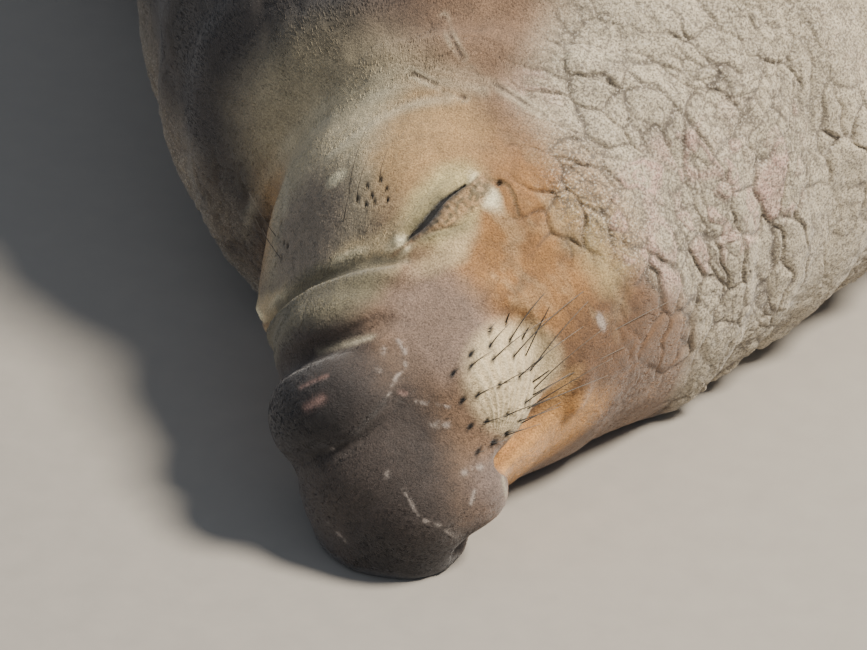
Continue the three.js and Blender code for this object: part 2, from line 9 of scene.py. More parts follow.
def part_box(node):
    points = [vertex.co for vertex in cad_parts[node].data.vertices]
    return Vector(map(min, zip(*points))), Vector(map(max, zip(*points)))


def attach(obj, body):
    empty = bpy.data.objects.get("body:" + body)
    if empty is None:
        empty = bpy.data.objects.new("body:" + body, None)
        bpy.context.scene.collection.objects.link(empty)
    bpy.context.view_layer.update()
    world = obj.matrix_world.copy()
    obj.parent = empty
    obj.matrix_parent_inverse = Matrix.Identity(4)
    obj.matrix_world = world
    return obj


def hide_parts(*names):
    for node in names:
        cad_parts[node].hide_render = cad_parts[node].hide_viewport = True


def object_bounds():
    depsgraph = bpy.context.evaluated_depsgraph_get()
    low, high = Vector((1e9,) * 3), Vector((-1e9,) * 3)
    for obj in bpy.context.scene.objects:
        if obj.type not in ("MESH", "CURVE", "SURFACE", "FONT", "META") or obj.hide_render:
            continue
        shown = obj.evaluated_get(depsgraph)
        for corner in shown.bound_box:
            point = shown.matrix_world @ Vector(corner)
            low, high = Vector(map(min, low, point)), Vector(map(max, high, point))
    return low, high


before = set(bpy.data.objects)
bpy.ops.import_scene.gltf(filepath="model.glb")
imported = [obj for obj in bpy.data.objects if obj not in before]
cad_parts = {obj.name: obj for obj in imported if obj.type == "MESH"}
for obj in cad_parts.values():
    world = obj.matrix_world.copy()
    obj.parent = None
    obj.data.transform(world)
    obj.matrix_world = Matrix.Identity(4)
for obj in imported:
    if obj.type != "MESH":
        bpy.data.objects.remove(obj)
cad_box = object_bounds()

# The animal, in millimetres, in its own frame: +Z up, facing -Y, its left side +X.
NECK_END_Y = -470  # the neck and the chest meet in this plane
NECK_REAR_Y = -430  # the fine detail of the neck ends here
EYES = np.array([-85.0, -900.0, 192.0])  # midway between the eyes
HEAD_TURN, HEAD_NOD, HEAD_ROLL = 18, 7, 42
HEAD_REAR_Y, HEAD_TOP_Z = -560, 480  # the forms of the head lie before and below these
HEAD_BLEND = 26
FLOOR_SINK = 28  # how far the round of the flank is cut off by the floor
COAT = 2.5  # the skin starts this far inside the solids, which leaves room for its relief and coat
FLOOR_GAP, FLOOR_BLEND = 0.6, 7

# Cross-sections of the trunk: y, half width, height of the back, sideways place of the midline.
SECTIONS = np.array([
    (-960, 176, 318, -24),
    (-880, 192, 336, -16),
    (-800, 228, 368, -6),
    (-635, 332, 492, 4),
    (-400, 438, 640, 4),
    (-100, 530, 752, 0),
    (300, 588, 818, 0),
    (800, 572, 790, 0),
    (1350, 468, 655, 0),
    (1850, 340, 480, 0),
    (2250, 236, 330, 0),
    (2480, 168, 236, 0),
    (2620, 50, 128, 0),
    (2740, 26, 92, 0),
], dtype=float)
WIDEST_AT, BACK_POWER, FLANK_POWER = 0.42, 2.15, 2.6
NECK_RIM, NECK_RIM_BLEND = -84, 55  # the neck ends inside the head
# Folds of the neck: how far behind the eyes, height and width; and how they slant over the back.
NECK_FOLDS = [(92, 9, 17), (142, 7, 20), (205, 8, 24), (290, 9, 30), (385, 8, 34)]
FOLD_SLANT = 0.1

# Forms of the head: forward, left and up of the point between the eyes, half sizes, rounding, paired.
FACE_FORMS = {
    "cranium": ((-120, 4, -60), (172, 178, 172), 0, False),
    "jowls": ((-84, 0, -150), (150, 146, 112), 60, False),
    "brow": ((-44, 58, 4), (56, 62, 46), 50, True),
    "nose bridge": ((20, 0, -50), (86, 92, 66), 60, False),
    "cheek": ((6, 64, -104), (84, 60, 68), 40, True),
    "lower jaw": ((4, 0, -196), (96, 88, 44), 12, False),
}
NOSE_FORMS = {
    "first roll": ((80, 10, -34), (44, 72, 44), 0, False),
    "root of the nose": ((42, 50, -26), (36, 40, 28), 16, True),
    "second roll": ((124, 0, -80), (52, 71, 54), 6, False),
    "nose side": ((84, 0, -104), (78, 88, 82), 24, False),
    "trunk": ((122, -8, -152), (70, 84, 74), 12, False),
    "trunk foot": ((140, -30, -204), (56, 64, 62), 30, False),
    "upper lip": ((84, 60, -158), (50, 38, 50), 30, True),
    "nostril side": ((126, 24, -186), (60, 62, 50), 24, False),
    "nostril lobe": ((112, 62, -202), (36, 32, 33), 12, True),
}
WHISKER_PAD = ((58, 78, -140), (54, 56, 56))
PAD_BLEND, NOSE_BLEND, EYE_BLEND = 26, 26, 34
MIDLINE_SOFT = 14  # paired forms meet the midline without an edge
EYE_AT, EYE_MOUND, EYE_RADIUS = (-8, 93, -6), (42, 32, 30), 33
NOSTRIL, NOSTRIL_BLEND = ((118, 34, -238), (26, 9, 24)), 8
# Creases and ridges: width, then points with the depth or height at each.
CREASES = {
    "behind the pad": (9, [(36, 122, -86, 0), (26, 130, -96, 5), (14, 132, -112, 13), (12, 132, -136, 17),
                           (18, 124, -158, 15), (32, 110, -180, 8), (56, 92, -195, 4)]),
    "over the first roll": (8, [(60, 0, 12, 6), (60, 30, 11, 6), (56, 60, 5, 5), (46, 88, -9, 4),
                                (36, 104, -20, 0)]),
    "over the second roll": (9, [(116, -60, -24, 8), (124, 0, -24, 12), (112, 46, -31, 12), (92, 72, -37, 11),
                                 (82, 84, -40, 0)]),
    "over the trunk": (9, [(172, -50, -88, 4), (170, 0, -93, 6), (162, 25, -101, 6), (149, 50, -101, 7),
                           (130, 69, -97, 6), (115, 82, -88, 0)]),
}
RIDGES = {
    "rim of the first roll": (8, [(76, 0, 8, 2), (72, 40, 6, 3), (64, 74, -4, 4), (52, 96, -18, 3),
                                  (44, 104, -28, 0)]),
    "fold behind the lips": (8, [(-34, 128, -156, 0), (-24, 122, -176, 8), (-18, 116, -194, 9),
                                 (-6, 104, -210, 7), (12, 92, -222, 0)]),
}
MOUTH_LINE = np.array([(-12, -184), (14, -190), (38, -195), (60, -197), (100, -199)], dtype=float)
MOUTH_DEPTH, MOUTH_WIDTH, MOUTH_FADE = 13, 9, 26
MOUTH_ENDS = (84, 104)  # the line fades out between these, on the lips

# Flippers: root, splay, lean, fall; arm; then lengths, fan, across and thickness of the digits.
FORE = {
    "root": (500, -60, 92), "splay": 42, "lean": 0, "fall": 84, "arm": (150, 92, 56),
    "lengths": (420, 412, 380, 335, 285), "fan": (-13, -4, 6, 17, 29), "across": (-54, -28, 0, 27, 52),
    "thick": (27, 22, 20, 19, 20), "tip": 10, "web": (11, 5, 0.88),
}
HIND = {
    "root": (122, 2560, 112), "splay": 8, "lean": 42, "fall": 0, "arm": (130, 66, 48),
    "lengths": (470, 400, 352, 392, 455), "fan": (-21, -10.5, 0, 10.5, 21), "across": (-40, -20, 0, 20, 40),
    "thick": (27, 19, 17, 19, 26), "tip": 9, "web": (9, 4, 0.86),
}
WRIST_TAPER, DIGIT_BLEND, WEB_BLEND, LIMB_BLEND = 0.62, 14, 9, 24
WEB_LINES = (0.3, 0.5, 0.7)  # rods that fill the web, by their place between two digits
LIMB_BACK, LIMB_AHEAD, LIMB_HALF_WIDTH, LIMB_HALF_DEPTH = -260, 60, 300, 190  # the box round a flipper
SWELL = 7.0  # the first net is drawn round thicker flippers, so that it catches their webs

BASE_CELL, NET_MARGIN = 13.0, 20  # of the first net


def unit(v):
    return v / np.linalg.norm(v)


def norms(v):
    return np.linalg.norm(v, axis=1)


def units(v):
    return v / norms(v)[:, None]


def turned(v, axis, degrees):
    a = math.radians(degrees)
    return v * math.cos(a) + np.cross(axis, v) * math.sin(a) + axis * np.dot(axis, v) * (1 - math.cos(a))


def head_axes():
    turn, nod = math.radians(HEAD_TURN), math.radians(HEAD_NOD)
    forward = np.array([-math.sin(turn) * math.cos(nod), -math.cos(turn) * math.cos(nod), -math.sin(nod)])
    left = turned(np.array([math.cos(turn), -math.sin(turn), 0.0]), forward, HEAD_ROLL)
    return np.array([forward, left, np.cross(forward, left)])


HEAD = head_axes()


def to_head(p):
    return (p - EYES) @ HEAD.T


def from_head(q):
    return np.asarray(q, dtype=float) @ HEAD + EYES


def mirrored(q):
    """Points of the head, with its right side laid over its left one."""
    return np.stack([q[:, 0], np.abs(q[:, 1]), q[:, 2]], axis=1)


def join(a, b, k):
    """The two forms as one, with a blend of size k."""
    h = np.maximum(k - np.abs(a - b), 0) / k
    return np.minimum(a, b) - h * h * k / 4


def carve(a, b, k):
    """The first form without the second."""
    return -join(-a, b, k)


def bump(x, width):
    return np.exp(-((x / width) ** 2))


def smoothstep(x, low, high):
    t = np.clip((x - low) / (high - low), 0, 1)
    return t * t * (3 - 2 * t)


def ellipsoid(p, at, size):
    u = (p - np.asarray(at)) / np.asarray(size)
    near = norms(u)
    slope = norms(u / np.asarray(size))
    return near * (near - 1) / np.maximum(slope, 1e-9)


def rod(p, a, b, ra, rb):
    """Distance to a rod from a to b, with its radius at each end."""
    a, b = np.asarray(a, float), np.asarray(b, float)
    ab = b - a
    t = np.clip(((p - a) @ ab) / (ab @ ab), 0, 1)
    return norms(p - a - t[:, None] * ab) - (ra + (rb - ra) * t)


def between(xs, ys, at):
    """A smooth line through the points xs, ys."""
    x = np.clip(at, xs[0], xs[-1])
    i = np.clip(np.searchsorted(xs, x, side="left") - 1, 0, len(xs) - 2)
    low, high = np.maximum(np.arange(len(xs)) - 1, 0), np.minimum(np.arange(len(xs)) + 1, len(xs) - 1)
    slope = (ys[high] - ys[low]) / (xs[high] - xs[low])
    span = xs[i + 1] - xs[i]
    t = (x - xs[i]) / span
    t2, t3 = t * t, t * t * t
    ends = ys[i] * (2 * t3 - 3 * t2 + 1) + ys[i + 1] * (3 * t2 - 2 * t3)
    return ends + slope[i] * span * (t3 - 2 * t2 + t) + slope[i + 1] * span * (t3 - t2)


def trunk(p):
    x, y, z = p.T
    half, top, mid = (between(SECTIONS[:, 0], SECTIONS[:, c], y) for c in (1, 2, 3))
    widest = WIDEST_AT * top
    above = z > widest
    rise = np.where(above, top - widest, widest + FLOOR_SINK)
    power = np.where(above, BACK_POWER, FLANK_POWER)
    u, v = np.abs((x - mid) / half), np.abs((z - widest) / rise)
    side = ((u**power + v**power) ** (1 / power) - 1) * np.minimum(half, rise)
    behind = y - EYES[1]
    for back, height, width in NECK_FOLDS:
        side = side - height * bump(behind - back - FOLD_SLANT * (x - mid), width)
    rim = (p - EYES) @ HEAD[0] - NECK_RIM
    end = np.maximum(rim, y - SECTIONS[-1, 0])
    return carve(side, -end, NECK_RIM_BLEND)


def joined(forms, q, side):
    d = None
    for at, size, blend, paired in forms.values():
        near = ellipsoid(side if paired else q, at, size)
        d = near if d is None else join(d, near, blend)
    return d


def curve(points, steps=4):
    """A smooth line through points, with steps to each stretch."""
    points = np.array(points, float)
    at = np.linspace(0, len(points) - 1, steps * (len(points) - 1) + 1)
    return np.stack([between(np.arange(len(points)), column, at) for column in points.T], axis=1)


def groove(p, points, width):
    """A groove along a line whose points carry the depth there."""
    deep = np.zeros(len(p))
    reach = np.ptp(points[:, :3], axis=0).max() + 3 * width
    near = norms(p - points[:, :3].mean(axis=0)) < reach
    q = p[near]
    found = np.zeros(len(q))
    for a, b in zip(points, points[1:]):
        way = b[:3] - a[:3]
        t = np.clip(((q - a[:3]) @ way) / (way @ way), 0, 1)
        off = norms(q - a[:3] - t[:, None] * way)
        found = np.maximum(found, (a[3] + (b[3] - a[3]) * t) * bump(off, width))
    deep[near] = found
    return deep


def head(q):
    side = np.stack([q[:, 0], np.hypot(q[:, 1], MIDLINE_SOFT), q[:, 2]], axis=1)
    d = join(joined(FACE_FORMS, q, side), joined(NOSE_FORMS, q, side), NOSE_BLEND)
    d = join(d, ellipsoid(side, *WHISKER_PAD), PAD_BLEND)
    d = join(d, ellipsoid(side, EYE_AT, EYE_MOUND), EYE_BLEND)
    mouth = MOUTH_DEPTH * smoothstep(q[:, 0], MOUTH_LINE[0, 0], MOUTH_LINE[0, 0] + MOUTH_FADE)
    mouth = mouth * smoothstep(-q[:, 0], -MOUTH_ENDS[1], -MOUTH_ENDS[0])
    d = d + mouth * bump(q[:, 2] - between(MOUTH_LINE[:, 0], MOUTH_LINE[:, 1], q[:, 0]), MOUTH_WIDTH)
    deep = np.zeros(len(q))
    for width, line in GROOVES:
        deep = np.maximum(deep, groove(q if line[0, 1] < 0 else side, line, width))
    for width, line in FOLDS:
        d = d - groove(side, line, width)
    return carve(d + deep, ellipsoid(side, *NOSTRIL), NOSTRIL_BLEND)


GROOVES = [(width, curve(line)) for width, line in CREASES.values()]
FOLDS = [(width, curve(line)) for width, line in RIDGES.values()]


class Limb:
    """A flipper as a field: an arm, five tapered digits and the webs between them."""

    def __init__(self, shape, side):
        self.shape, self.side = shape, side
        splay = math.radians(shape["splay"])
        along = np.array([side * math.sin(splay), math.cos(splay), 0.0])
        across = turned(unit(np.cross((0, 0, 1.0), along)), along, side * shape["lean"])
        self.axes = np.array([along, across, np.cross(along, across)])
        self.root = np.array(shape["root"], float) * (side, 1, 1)
        self.reach = max(shape["lengths"]) + LIMB_AHEAD

    def local(self, p):
        return (p - self.root) @ self.axes.T

    def near(self, p):
        q = self.local(p)
        beside = (np.abs(q[:, 1]) < LIMB_HALF_WIDTH) & (np.abs(q[:, 2]) < LIMB_HALF_DEPTH)
        return (q[:, 0] > LIMB_BACK) & (q[:, 0] < self.reach) & beside

    def field(self, p):
        q = self.local(p)
        s = self.shape
        out = np.clip(q[:, 0] / max(s["lengths"]), 0, 1)
        q = q * (1, self.side, 1) + np.outer(s["fall"] * np.sin(math.pi / 2 * out), (0, 0, 1))
        length, half, thick = s["arm"]
        flat = half / thick
        d = rod(q * (1, 1, flat), (-length, 0, 0), (20, 0, 0), half, half * WRIST_TAPER) / flat
        tips = []
        for reach, fan, y, girth in zip(s["lengths"], s["fan"], s["across"], s["thick"]):
            turn = math.radians(fan)
            tip = np.array([reach * math.cos(turn), y + reach * math.sin(turn), 0])
            tips.append((np.array([0.0, y, 0]), tip))
            d = join(d, rod(q, *tips[-1], girth, s["tip"]), DIGIT_BLEND)
        web_thick, web_edge, web_reach = s["web"]
        for (a0, a1), (b0, b1) in zip(tips, tips[1:]):
            for share in WEB_LINES:
                start, end = a0 + (b0 - a0) * share, a1 + (b1 - a1) * share
                end = start + (end - start) * (web_reach + 0.15 * abs(share - 0.5))
                d = join(d, rod(q, start, end, web_thick, web_edge), WEB_BLEND)
        return d

    def share(self, p):
        """1 on the flipper, fading to 0 where it grows from the body."""
        share = np.zeros(len(p))
        near = self.near(p)
        if near.any():
            beyond = smoothstep(self.local(p[near])[:, 0], -30, 60)
            share[near] = beyond * (1 - smoothstep(self.field(p[near]), 6, 34))
        return share


LIMBS = [Limb(shape, side) for shape in (FORE, HIND) for side in (1, -1)]


def limb_share(p):
    return np.max([limb.share(p) for limb in LIMBS], axis=0)


def flesh(p):
    """Distance to the skin, negative inside."""
    d = trunk(p)
    near = (p[:, 1] < HEAD_REAR_Y) & (p[:, 2] < HEAD_TOP_Z)
    if near.any():
        d[near] = join(head(to_head(p[near])), d[near], HEAD_BLEND)
    for limb in LIMBS:
        near = limb.near(p)
        if near.any():
            d[near] = join(d[near], limb.field(p[near]), LIMB_BLEND)
    return carve(d + COAT, p[:, 2] - FLOOR_GAP, FLOOR_BLEND)


def swollen(p):
    """The flesh with thicker flippers, for the first net alone."""
    d = flesh(p)
    for limb in LIMBS:
        near = limb.near(p)
        d[near] -= SWELL * smoothstep(limb.local(p[near])[:, 0], 10, 90)
    return d


def slope_of(p, d=None):
    """The way out of the flesh at each point."""
    step = 0.5
    d = flesh(p) if d is None else d
    return np.stack([(flesh(p + step * np.eye(3)[a]) - d) / step for a in range(3)], axis=1)


def settle(p, passes=3, reach=6.0):
    """Moves points onto the skin."""
    start = p.copy()
    for _ in range(passes):
        d = flesh(p)
        g = slope_of(p, d)
        p = p - (d / np.maximum((g * g).sum(axis=1), 0.1))[:, None] * g
        p = start + np.clip(p - start, -reach, reach)
    return p


def surface_net(low, high, cell):
    """A closed mesh of quads round the flesh."""
    low = np.asarray(low, float)
    count = np.ceil((np.asarray(high) - low) / cell).astype(int) + 1
    axes = [low[a] + cell * np.arange(count[a]) for a in range(3)]
    value = np.empty(count)
    for i, x in enumerate(axes[0]):
        y, z = np.meshgrid(axes[1], axes[2], indexing="ij")
        sheet = np.stack([np.full(y.size, x), y.ravel(), z.ravel()], axis=1)
        value[i] = swollen(sheet).reshape(y.shape)
    inside = value < 0
    corners = np.array([(c & 1, (c >> 1) & 1, (c >> 2) & 1) for c in range(8)])
    span = count - 1
    held = sum(inside[a:span[0] + a, b:span[1] + b, c:span[2] + c].astype(int) for a, b, c in corners)
    cells = np.argwhere((held > 0) & (held < 8))
    total, crossings = np.zeros((len(cells), 3)), np.zeros(len(cells))
    for i, a in enumerate(corners):
        for b in corners[i + 1:]:
            if np.abs(a - b).sum() != 1:
                continue
            va, vb = value[tuple((cells + a).T)], value[tuple((cells + b).T)]
            cross = (va < 0) != (vb < 0)
            t = np.where(cross, va / np.where(cross, va - vb, 1), 0)
            total += cross[:, None] * (a + t[:, None] * (b - a))
            crossings += cross
    points = low + (cells + total / crossings[:, None]) * cell
    number = np.full(count - 1, -1)
    number[tuple(cells.T)] = np.arange(len(cells))
    quads = []
    e = np.eye(3, dtype=int)
    for axis in range(3):
        b, c = e[(axis + 1) % 3], e[(axis + 2) % 3]
        last = count - e[axis]
        here = inside[:last[0], :last[1], :last[2]]
        there = inside[e[axis][0]:, e[axis][1]:, e[axis][2]:]
        g = np.argwhere(here != there)
        g = g[(g[:, (axis + 1) % 3] > 0) & (g[:, (axis + 2) % 3] > 0)]
        q = np.stack([number[tuple(v.T)] for v in (g, g - b, g - b - c, g - c)], axis=1)
        flip = ~inside[tuple(g.T)]
        q[flip] = q[flip][:, ::-1]
        quads.append(q)
    return points, np.concatenate(quads)


def read_points(mesh):
    flat = np.empty(len(mesh.vertices) * 3, dtype=np.float32)
    mesh.vertices.foreach_get("co", flat)
    return flat.reshape(-1, 3).astype(float)


def refine(mesh, wanted):
    """Splits the faces whose points are all wanted in four, and settles the new points on the skin."""
    p = read_points(mesh)
    keep = wanted(p)
    bm = bmesh.new()
    bm.from_mesh(mesh)
    bm.verts.ensure_lookup_table()
    edges = [e for e in bm.edges if keep[e.verts[0].index] and keep[e.verts[1].index]]
    bmesh.ops.subdivide_edges(bm, edges=edges, cuts=1, use_grid_fill=True)
    bm.to_mesh(mesh)
    bm.free()
    q = read_points(mesh)
    q[len(p):] = settle(q[len(p):])
    mesh.vertices.foreach_set("co", q.astype(np.float32).ravel())


# Zones of finer mesh.

def front(p):
    return (p[:, 1] < -330) & (p[:, 2] > 2)


def flippers(p):
    return np.any([limb.near(p) & (limb.local(p)[:, 0] > 10) for limb in LIMBS], axis=0)


def head_and_neck(p):
    return (p[:, 1] < NECK_REAR_Y) & (p[:, 2] > 4)


def face(p):
    return (to_head(p)[:, 0] > -64) & (p[:, 2] > 6)


def near_neck(p):
    return (p[:, 1] > -960) & (p[:, 1] < -600) & (p[:, 0] > -50) & (p[:, 2] > 12) & (to_head(p)[:, 0] < -62)


def lids_and_pads(p):
    side = mirrored(to_head(p))
    return (norms(side - (2, 126, 0)) < 42) | (norms(side - (60, 122, -145)) < 62)


# From the animal's own frame to the shared one: the chest's box starts a seam's width before its plane.
SEAM = 0.15
OFFSET = np.array([0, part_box("chest")[0][1] * 1000 - (NECK_END_Y + SEAM), 0])


def place(p):
    return (p + OFFSET) / 1000


# Noise and plates, for relief and colour.

OCTAVES = 3


def scatter(cell, seed):
    """A fixed number from 0 to 1 for each whole-numbered place."""
    h = (cell[..., 0] * 73856093) ^ (cell[..., 1] * 19349663) ^ (cell[..., 2] * 83492791) ^ (seed * 2654435)
    h = (h ^ (h >> 13)) * 1274126177 & 0xFFFFFFFF
    return ((h ^ (h >> 16)) & 0xFFFFFF) / float(0x1000000)


def noise(p, size, seed):
    """Smooth noise from -1 to 1, with lumps of the given size."""
    u = p / size
    cell = np.floor(u).astype(np.int64)
    t = u - cell
    t = t * t * (3 - 2 * t)
    total = 0
    for corner in range(8):
        c = np.array((corner & 1, corner >> 1 & 1, corner >> 2 & 1))
        total = total + np.prod(np.where(c, t, 1 - t), axis=1) * scatter(cell + c, seed)
    return total * 2 - 1


def rough(p, size, seed):
    return sum(noise(p, size / 2**i, seed + i) / 2**i for i in range(OCTAVES))


def wrinkles(p, size, seed):
    """1 along thin wandering lines, 0 between them."""
    return bump(rough(p, size, seed), 0.05)


def wander(p, size, seed):
    """A smooth shift of each point, up to 1 each way."""
    return np.stack([noise(p, size, seed + axis) for axis in range(3)], axis=1)


def plates(p, size, seed):
    """How far points lie from the edge of their plate, in plate sizes, and the plate's own number."""
    u = p / size
    cell = np.floor(u).astype(np.int64)
    first, second, own = np.full(len(u), 9.0), np.full(len(u), 9.0), np.zeros(len(u))
    for step in np.ndindex(3, 3, 3):
        c = cell + np.array(step) - 1
        seeds = np.stack([scatter(c, seed + axis) for axis in range(3)], axis=1)
        d = norms(c + 0.1 + 0.8 * seeds - u)
        own = np.where(d < first, scatter(c, seed + 7), own)
        second = np.minimum(second, np.maximum(first, d))
        first = np.minimum(first, d)
    return second - first, own


def spot(p, at, size, edge):
    """1 inside an ellipsoid, fading to 0 outside it."""
    reach = norms((p - np.asarray(at)) / np.asarray(size))
    return 1 - smoothstep(reach, 1 - edge / 2, 1 + edge / 2)


# How far behind the eyes the cheek's short hair ends, at each height in the head's frame.
CHEEK_BORDER = np.array([(-260, 150), (-205, 128), (-150, 92), (-100, 70), (-50, 72), (20, 96),
                         (110, 104)], dtype=float)
# The shield starts this many degrees down from the back, and so much lower on the right side, where its pale
# colour gives way to painted shade.
SHIELD_START, SHIELD_START_RIGHT, SHIELD_FADE = 6, 72, 26
PLATE_SIZE, SCALE_SIZE = 29, 11  # of the shield's large and small plates


class Place:
    """Where points lie on the animal, and the patterns that its relief and its colours share."""

    def __init__(self, p):
        self.p = p
        self.q = to_head(p)
        self.side = mirrored(self.q)
        mid = between(SECTIONS[:, 0], SECTIONS[:, 3], p[:, 1])
        top = between(SECTIONS[:, 0], SECTIONS[:, 2], p[:, 1])
        self.angle = np.degrees(np.arctan2(np.abs(p[:, 0] - mid), p[:, 2] - WIDEST_AT * top))
        self.head = smoothstep(self.q[:, 0], -150, -70) * (p[:, 1] < HEAD_REAR_Y)
        self.limb = limb_share(p)
        self.right = smoothstep(-p[:, 0], -20, 160)
        start = SHIELD_START + SHIELD_START_RIGHT * self.right + 12 * rough(p, 150, 7)
        fore = 1 - smoothstep(p[:, 1] + 60 * noise(p, 120, 8), -300, 60)
        self.shield = smoothstep(self.angle - start, 0, SHIELD_FADE) * fore
        border = between(CHEEK_BORDER[:, 0], CHEEK_BORDER[:, 1], self.q[:, 2])
        behind = -self.q[:, 0] - border + 10 * noise(p, 40, 9)
        self.folded = self.shield * smoothstep(behind, -75, 10)
        self.shield *= smoothstep(behind, -14, 18)
        warped = p + 15 * wander(p, 52, 11) + 5 * wander(p, 16, 26)
        ring, along = warped * (0.6, 1.3, 0.6), warped * (1, 0.35, 1)
        way = ring + (along - ring) * self.right[:, None]
        self.plates, self.lift = plates(way, PLATE_SIZE, 3)
        self.scales, self.scale_lift = plates(way * (1.1, 0.85, 1.1), SCALE_SIZE, 13)
        self.depth = 0.2 + 0.8 * smoothstep(noise(p, 64, 16), -0.5, 0.4)
        self.broken = smoothstep(rough(p, 75, 15), -0.5, 0.4)
        near = p[:, 1] < NECK_REAR_Y
        self.cuts, self.cut_rims = np.zeros(len(p)), np.zeros(len(p))
        far = np.min([to_line(p[near], curve(line, 4))[0] for line in NECK_CUTS], axis=0)
        self.cuts[near] = bump(far, 1.7) * smoothstep(noise(p[near], 8, 54), -0.3, 0.2)
        self.cut_rims[near] = bump(far - 3.5, 2) * smoothstep(noise(p[near], 22, 55), -0.5, 0.3)


# Marks of the head, in its own frame: forward, left, up.
SLIT = np.array([(32, 109, 1, 1.0), (20, 120, 2, 2.7), (9, 126, 4, 2.9), (-4, 131, 6, 2.0),
                 (-13, 136, 6, 1.3), (-28, 142, 4, 0.7)])
LOWER_LID = np.array([(24, 118, -4, 0.8), (13, 127, -10, 1.8), (5, 131, -15, 1.8), (-4, 134, -19, 1.2),
                      (-12, 138, -20, 0.4)])
UPPER_LID = np.array([(34, 104, 10, 0.6), (20, 114, 18, 1.2), (4, 122, 21, 1.4), (-14, 132, 19, 0.8)])
EAR = (-48, 155, -14)
EAR_ARC = np.array([(-47, 154, -7, 0.6), (-51, 159, -19, 1.8), (-48, 160, -29, 2.0), (-44, 159, -37, 1.6),
                    (-40, 158, -46, 0.6)])
PIT_SIZE, PIT_SHAPE = 2.4, (0.8, 1.3, 0.8)
BROW_PITS = [
    (9, 63, 48), (0, 73, 52), (-5, 86, 50), (2, 92, 42), (10, 94, 35), (7, 78, 44), (13, 72, 41),
    (12, 81, 39), (5, -55, 55), (14, -43, 49), (19, -36, 46), (15, -58, 45), (23, -48, 40), (22, -61, 38),
    (-4, -50, 62),
]
# Rows of whiskers: the first and the last root, and how many.
WHISKER_ROWS = [
    ((40, 126, -103), (19, 124, -110), 2), ((70, 120, -106), (14, 123, -130), 4),
    ((91, 110, -108), (27, 124, -142), 5), ((101, 108, -131), (20, 116, -156), 6),
    ((107, 102, -153), (24, 112, -167), 6), ((110, 93, -175), (30, 105, -175), 6),
    ((95, 99, -179), (54, 116, -176), 4),
]
LIP_FRONT = np.array((95, 99, -183))  # where the furrows of the whisker pad meet
FURROW_STEP, PAD_REACH = 8.5, 110  # degrees from furrow to furrow, and how far the pad's marks reach
# Pale folds round the forehead, and the scars: width, then points.
BANDS = [
    (6, [(-97, -205, 45), (-91, -139, 79), (-84, -22, 112), (-86, 40, 112), (-99, 91, 106), (-114, 141, 68),
         (-117, 179, 9)]),
    (7, [(-70, -20, 108), (-75, 29, 105), (-86, 79, 98), (-99, 113, 85), (-108, 150, 52)]),
    (6, [(-34, 24, 84), (-44, 50, 84), (-71, 90, 81), (-89, 128, 63)]),
    (5, [(-84, -87, 96), (-60, -70, 88), (-36, -50, 80), (-12, -42, 68)]),
]
# Lines along the deepest creases of the nose, painted with shade: width, then points.
DEEP_CREASES = [
    (3.2, [(124, -10, -25), (120, 22, -27), (112, 46, -32), (100, 62, -36)]),
    (2.4, [(60, -60, 8), (61, 0, 12), (60, 30, 11), (56, 60, 5)]),
    (2.2, [(166, 10, -99), (152, 45, -102), (138, 62, -100)]),
]
SCARS = [
    (1.7, [(90, 82, -59), (93, 83, -71), (101, 82, -79), (114, 77, -82), (128, 71, -88)]),
    (1.3, [(117, 81, -108), (112, 90, -118), (108, 100, -128)]),
    (2.8, [(121, 85, -131), (116, 92, -139)]),
    (2.6, [(130, 87, -180), (115, 91, -186)]),
    (1.6, [(169, 58, -157), (173, 58, -172), (175, 57, -186), (167, 62, -202), (152, 50, -224)]),
    (1.6, [(133, 86, -197), (141, 81, -204)]),
    (1.6, [(189, -25, -148), (193, -18, -168)]),
    (1.2, [(172, -40, -92), (170, 0, -95), (160, 28, -101)]),
    (2.6, [(102, 73, -58), (104, 74, -59)]),
    (2.4, [(119, 72, -67), (121, 72, -68)]),
    (2.4, [(167, 52, -139), (168, 51, -140)]),
]
PINK_SCARS = [
    (4.0, [(165, 21, -55), (159, 37, -56)]),
    (2.0, [(153, 17, -40), (144, 43, -44)]),
    (2.2, [(119, 76, -94), (117, 77, -97)]),
]
# Painted highlights along the rims of the rolls and of the nostril lobe.
RIM_HIGHLIGHTS = [
    (3.5, [(60, -30, 14), (66, 20, 14), (58, 52, 10), (46, 84, -2), (40, 100, -14)]),
    (3.5, [(65, 70, -203), (90, 84, -206), (102, 88, -211), (102, 82, -222)]),
    (3.5, [(112, 20, -30), (106, 52, -38), (98, 66, -44)]),
]
# Old cuts on the neck, in the animal's frame.
NECK_CUTS = [
    [(-33, -784, 378), (-20, -806, 370), (-8, -818, 360)],
    [(-53, -824, 343), (-26, -835, 340), (1, -846, 337)],
    [(0, -825, 353), (34, -836, 344), (72, -845, 329)],
    [(75, -803, 361), (130, -770, 352), (175, -735, 340)],
    [(330, -620, 330), (350, -560, 400), (330, -480, 470)],
    [(-180, -640, 400), (-230, -600, 380), (-270, -560, 350)],
]


def to_line(p, line):
    """Distance from a line, how far above it a point lies, and the line's last value there."""
    line = np.array(line, float)
    best, above, value = np.full(len(p), 1e9), np.zeros(len(p)), np.zeros(len(p))
    for a, b in zip(line, line[1:]):
        way = b[:3] - a[:3]
        t = np.clip(((p - a[:3]) @ way) / (way @ way), 0, 1)
        off = p - a[:3] - t[:, None] * way
        d = norms(off)
        nearer = d < best
        above = np.where(nearer, off[:, 2], above)
        value = np.where(nearer, a[-1] + (b[-1] - a[-1]) * t, value)
        best = np.minimum(best, d)
    return best, above, value


def stroke(p, lines):
    """1 on the lines, fading off within their widths."""
    mark = np.zeros(len(p))
    for width, line in lines:
        mark = np.maximum(mark, bump(to_line(p, curve(line, 3))[0], width))
    return mark


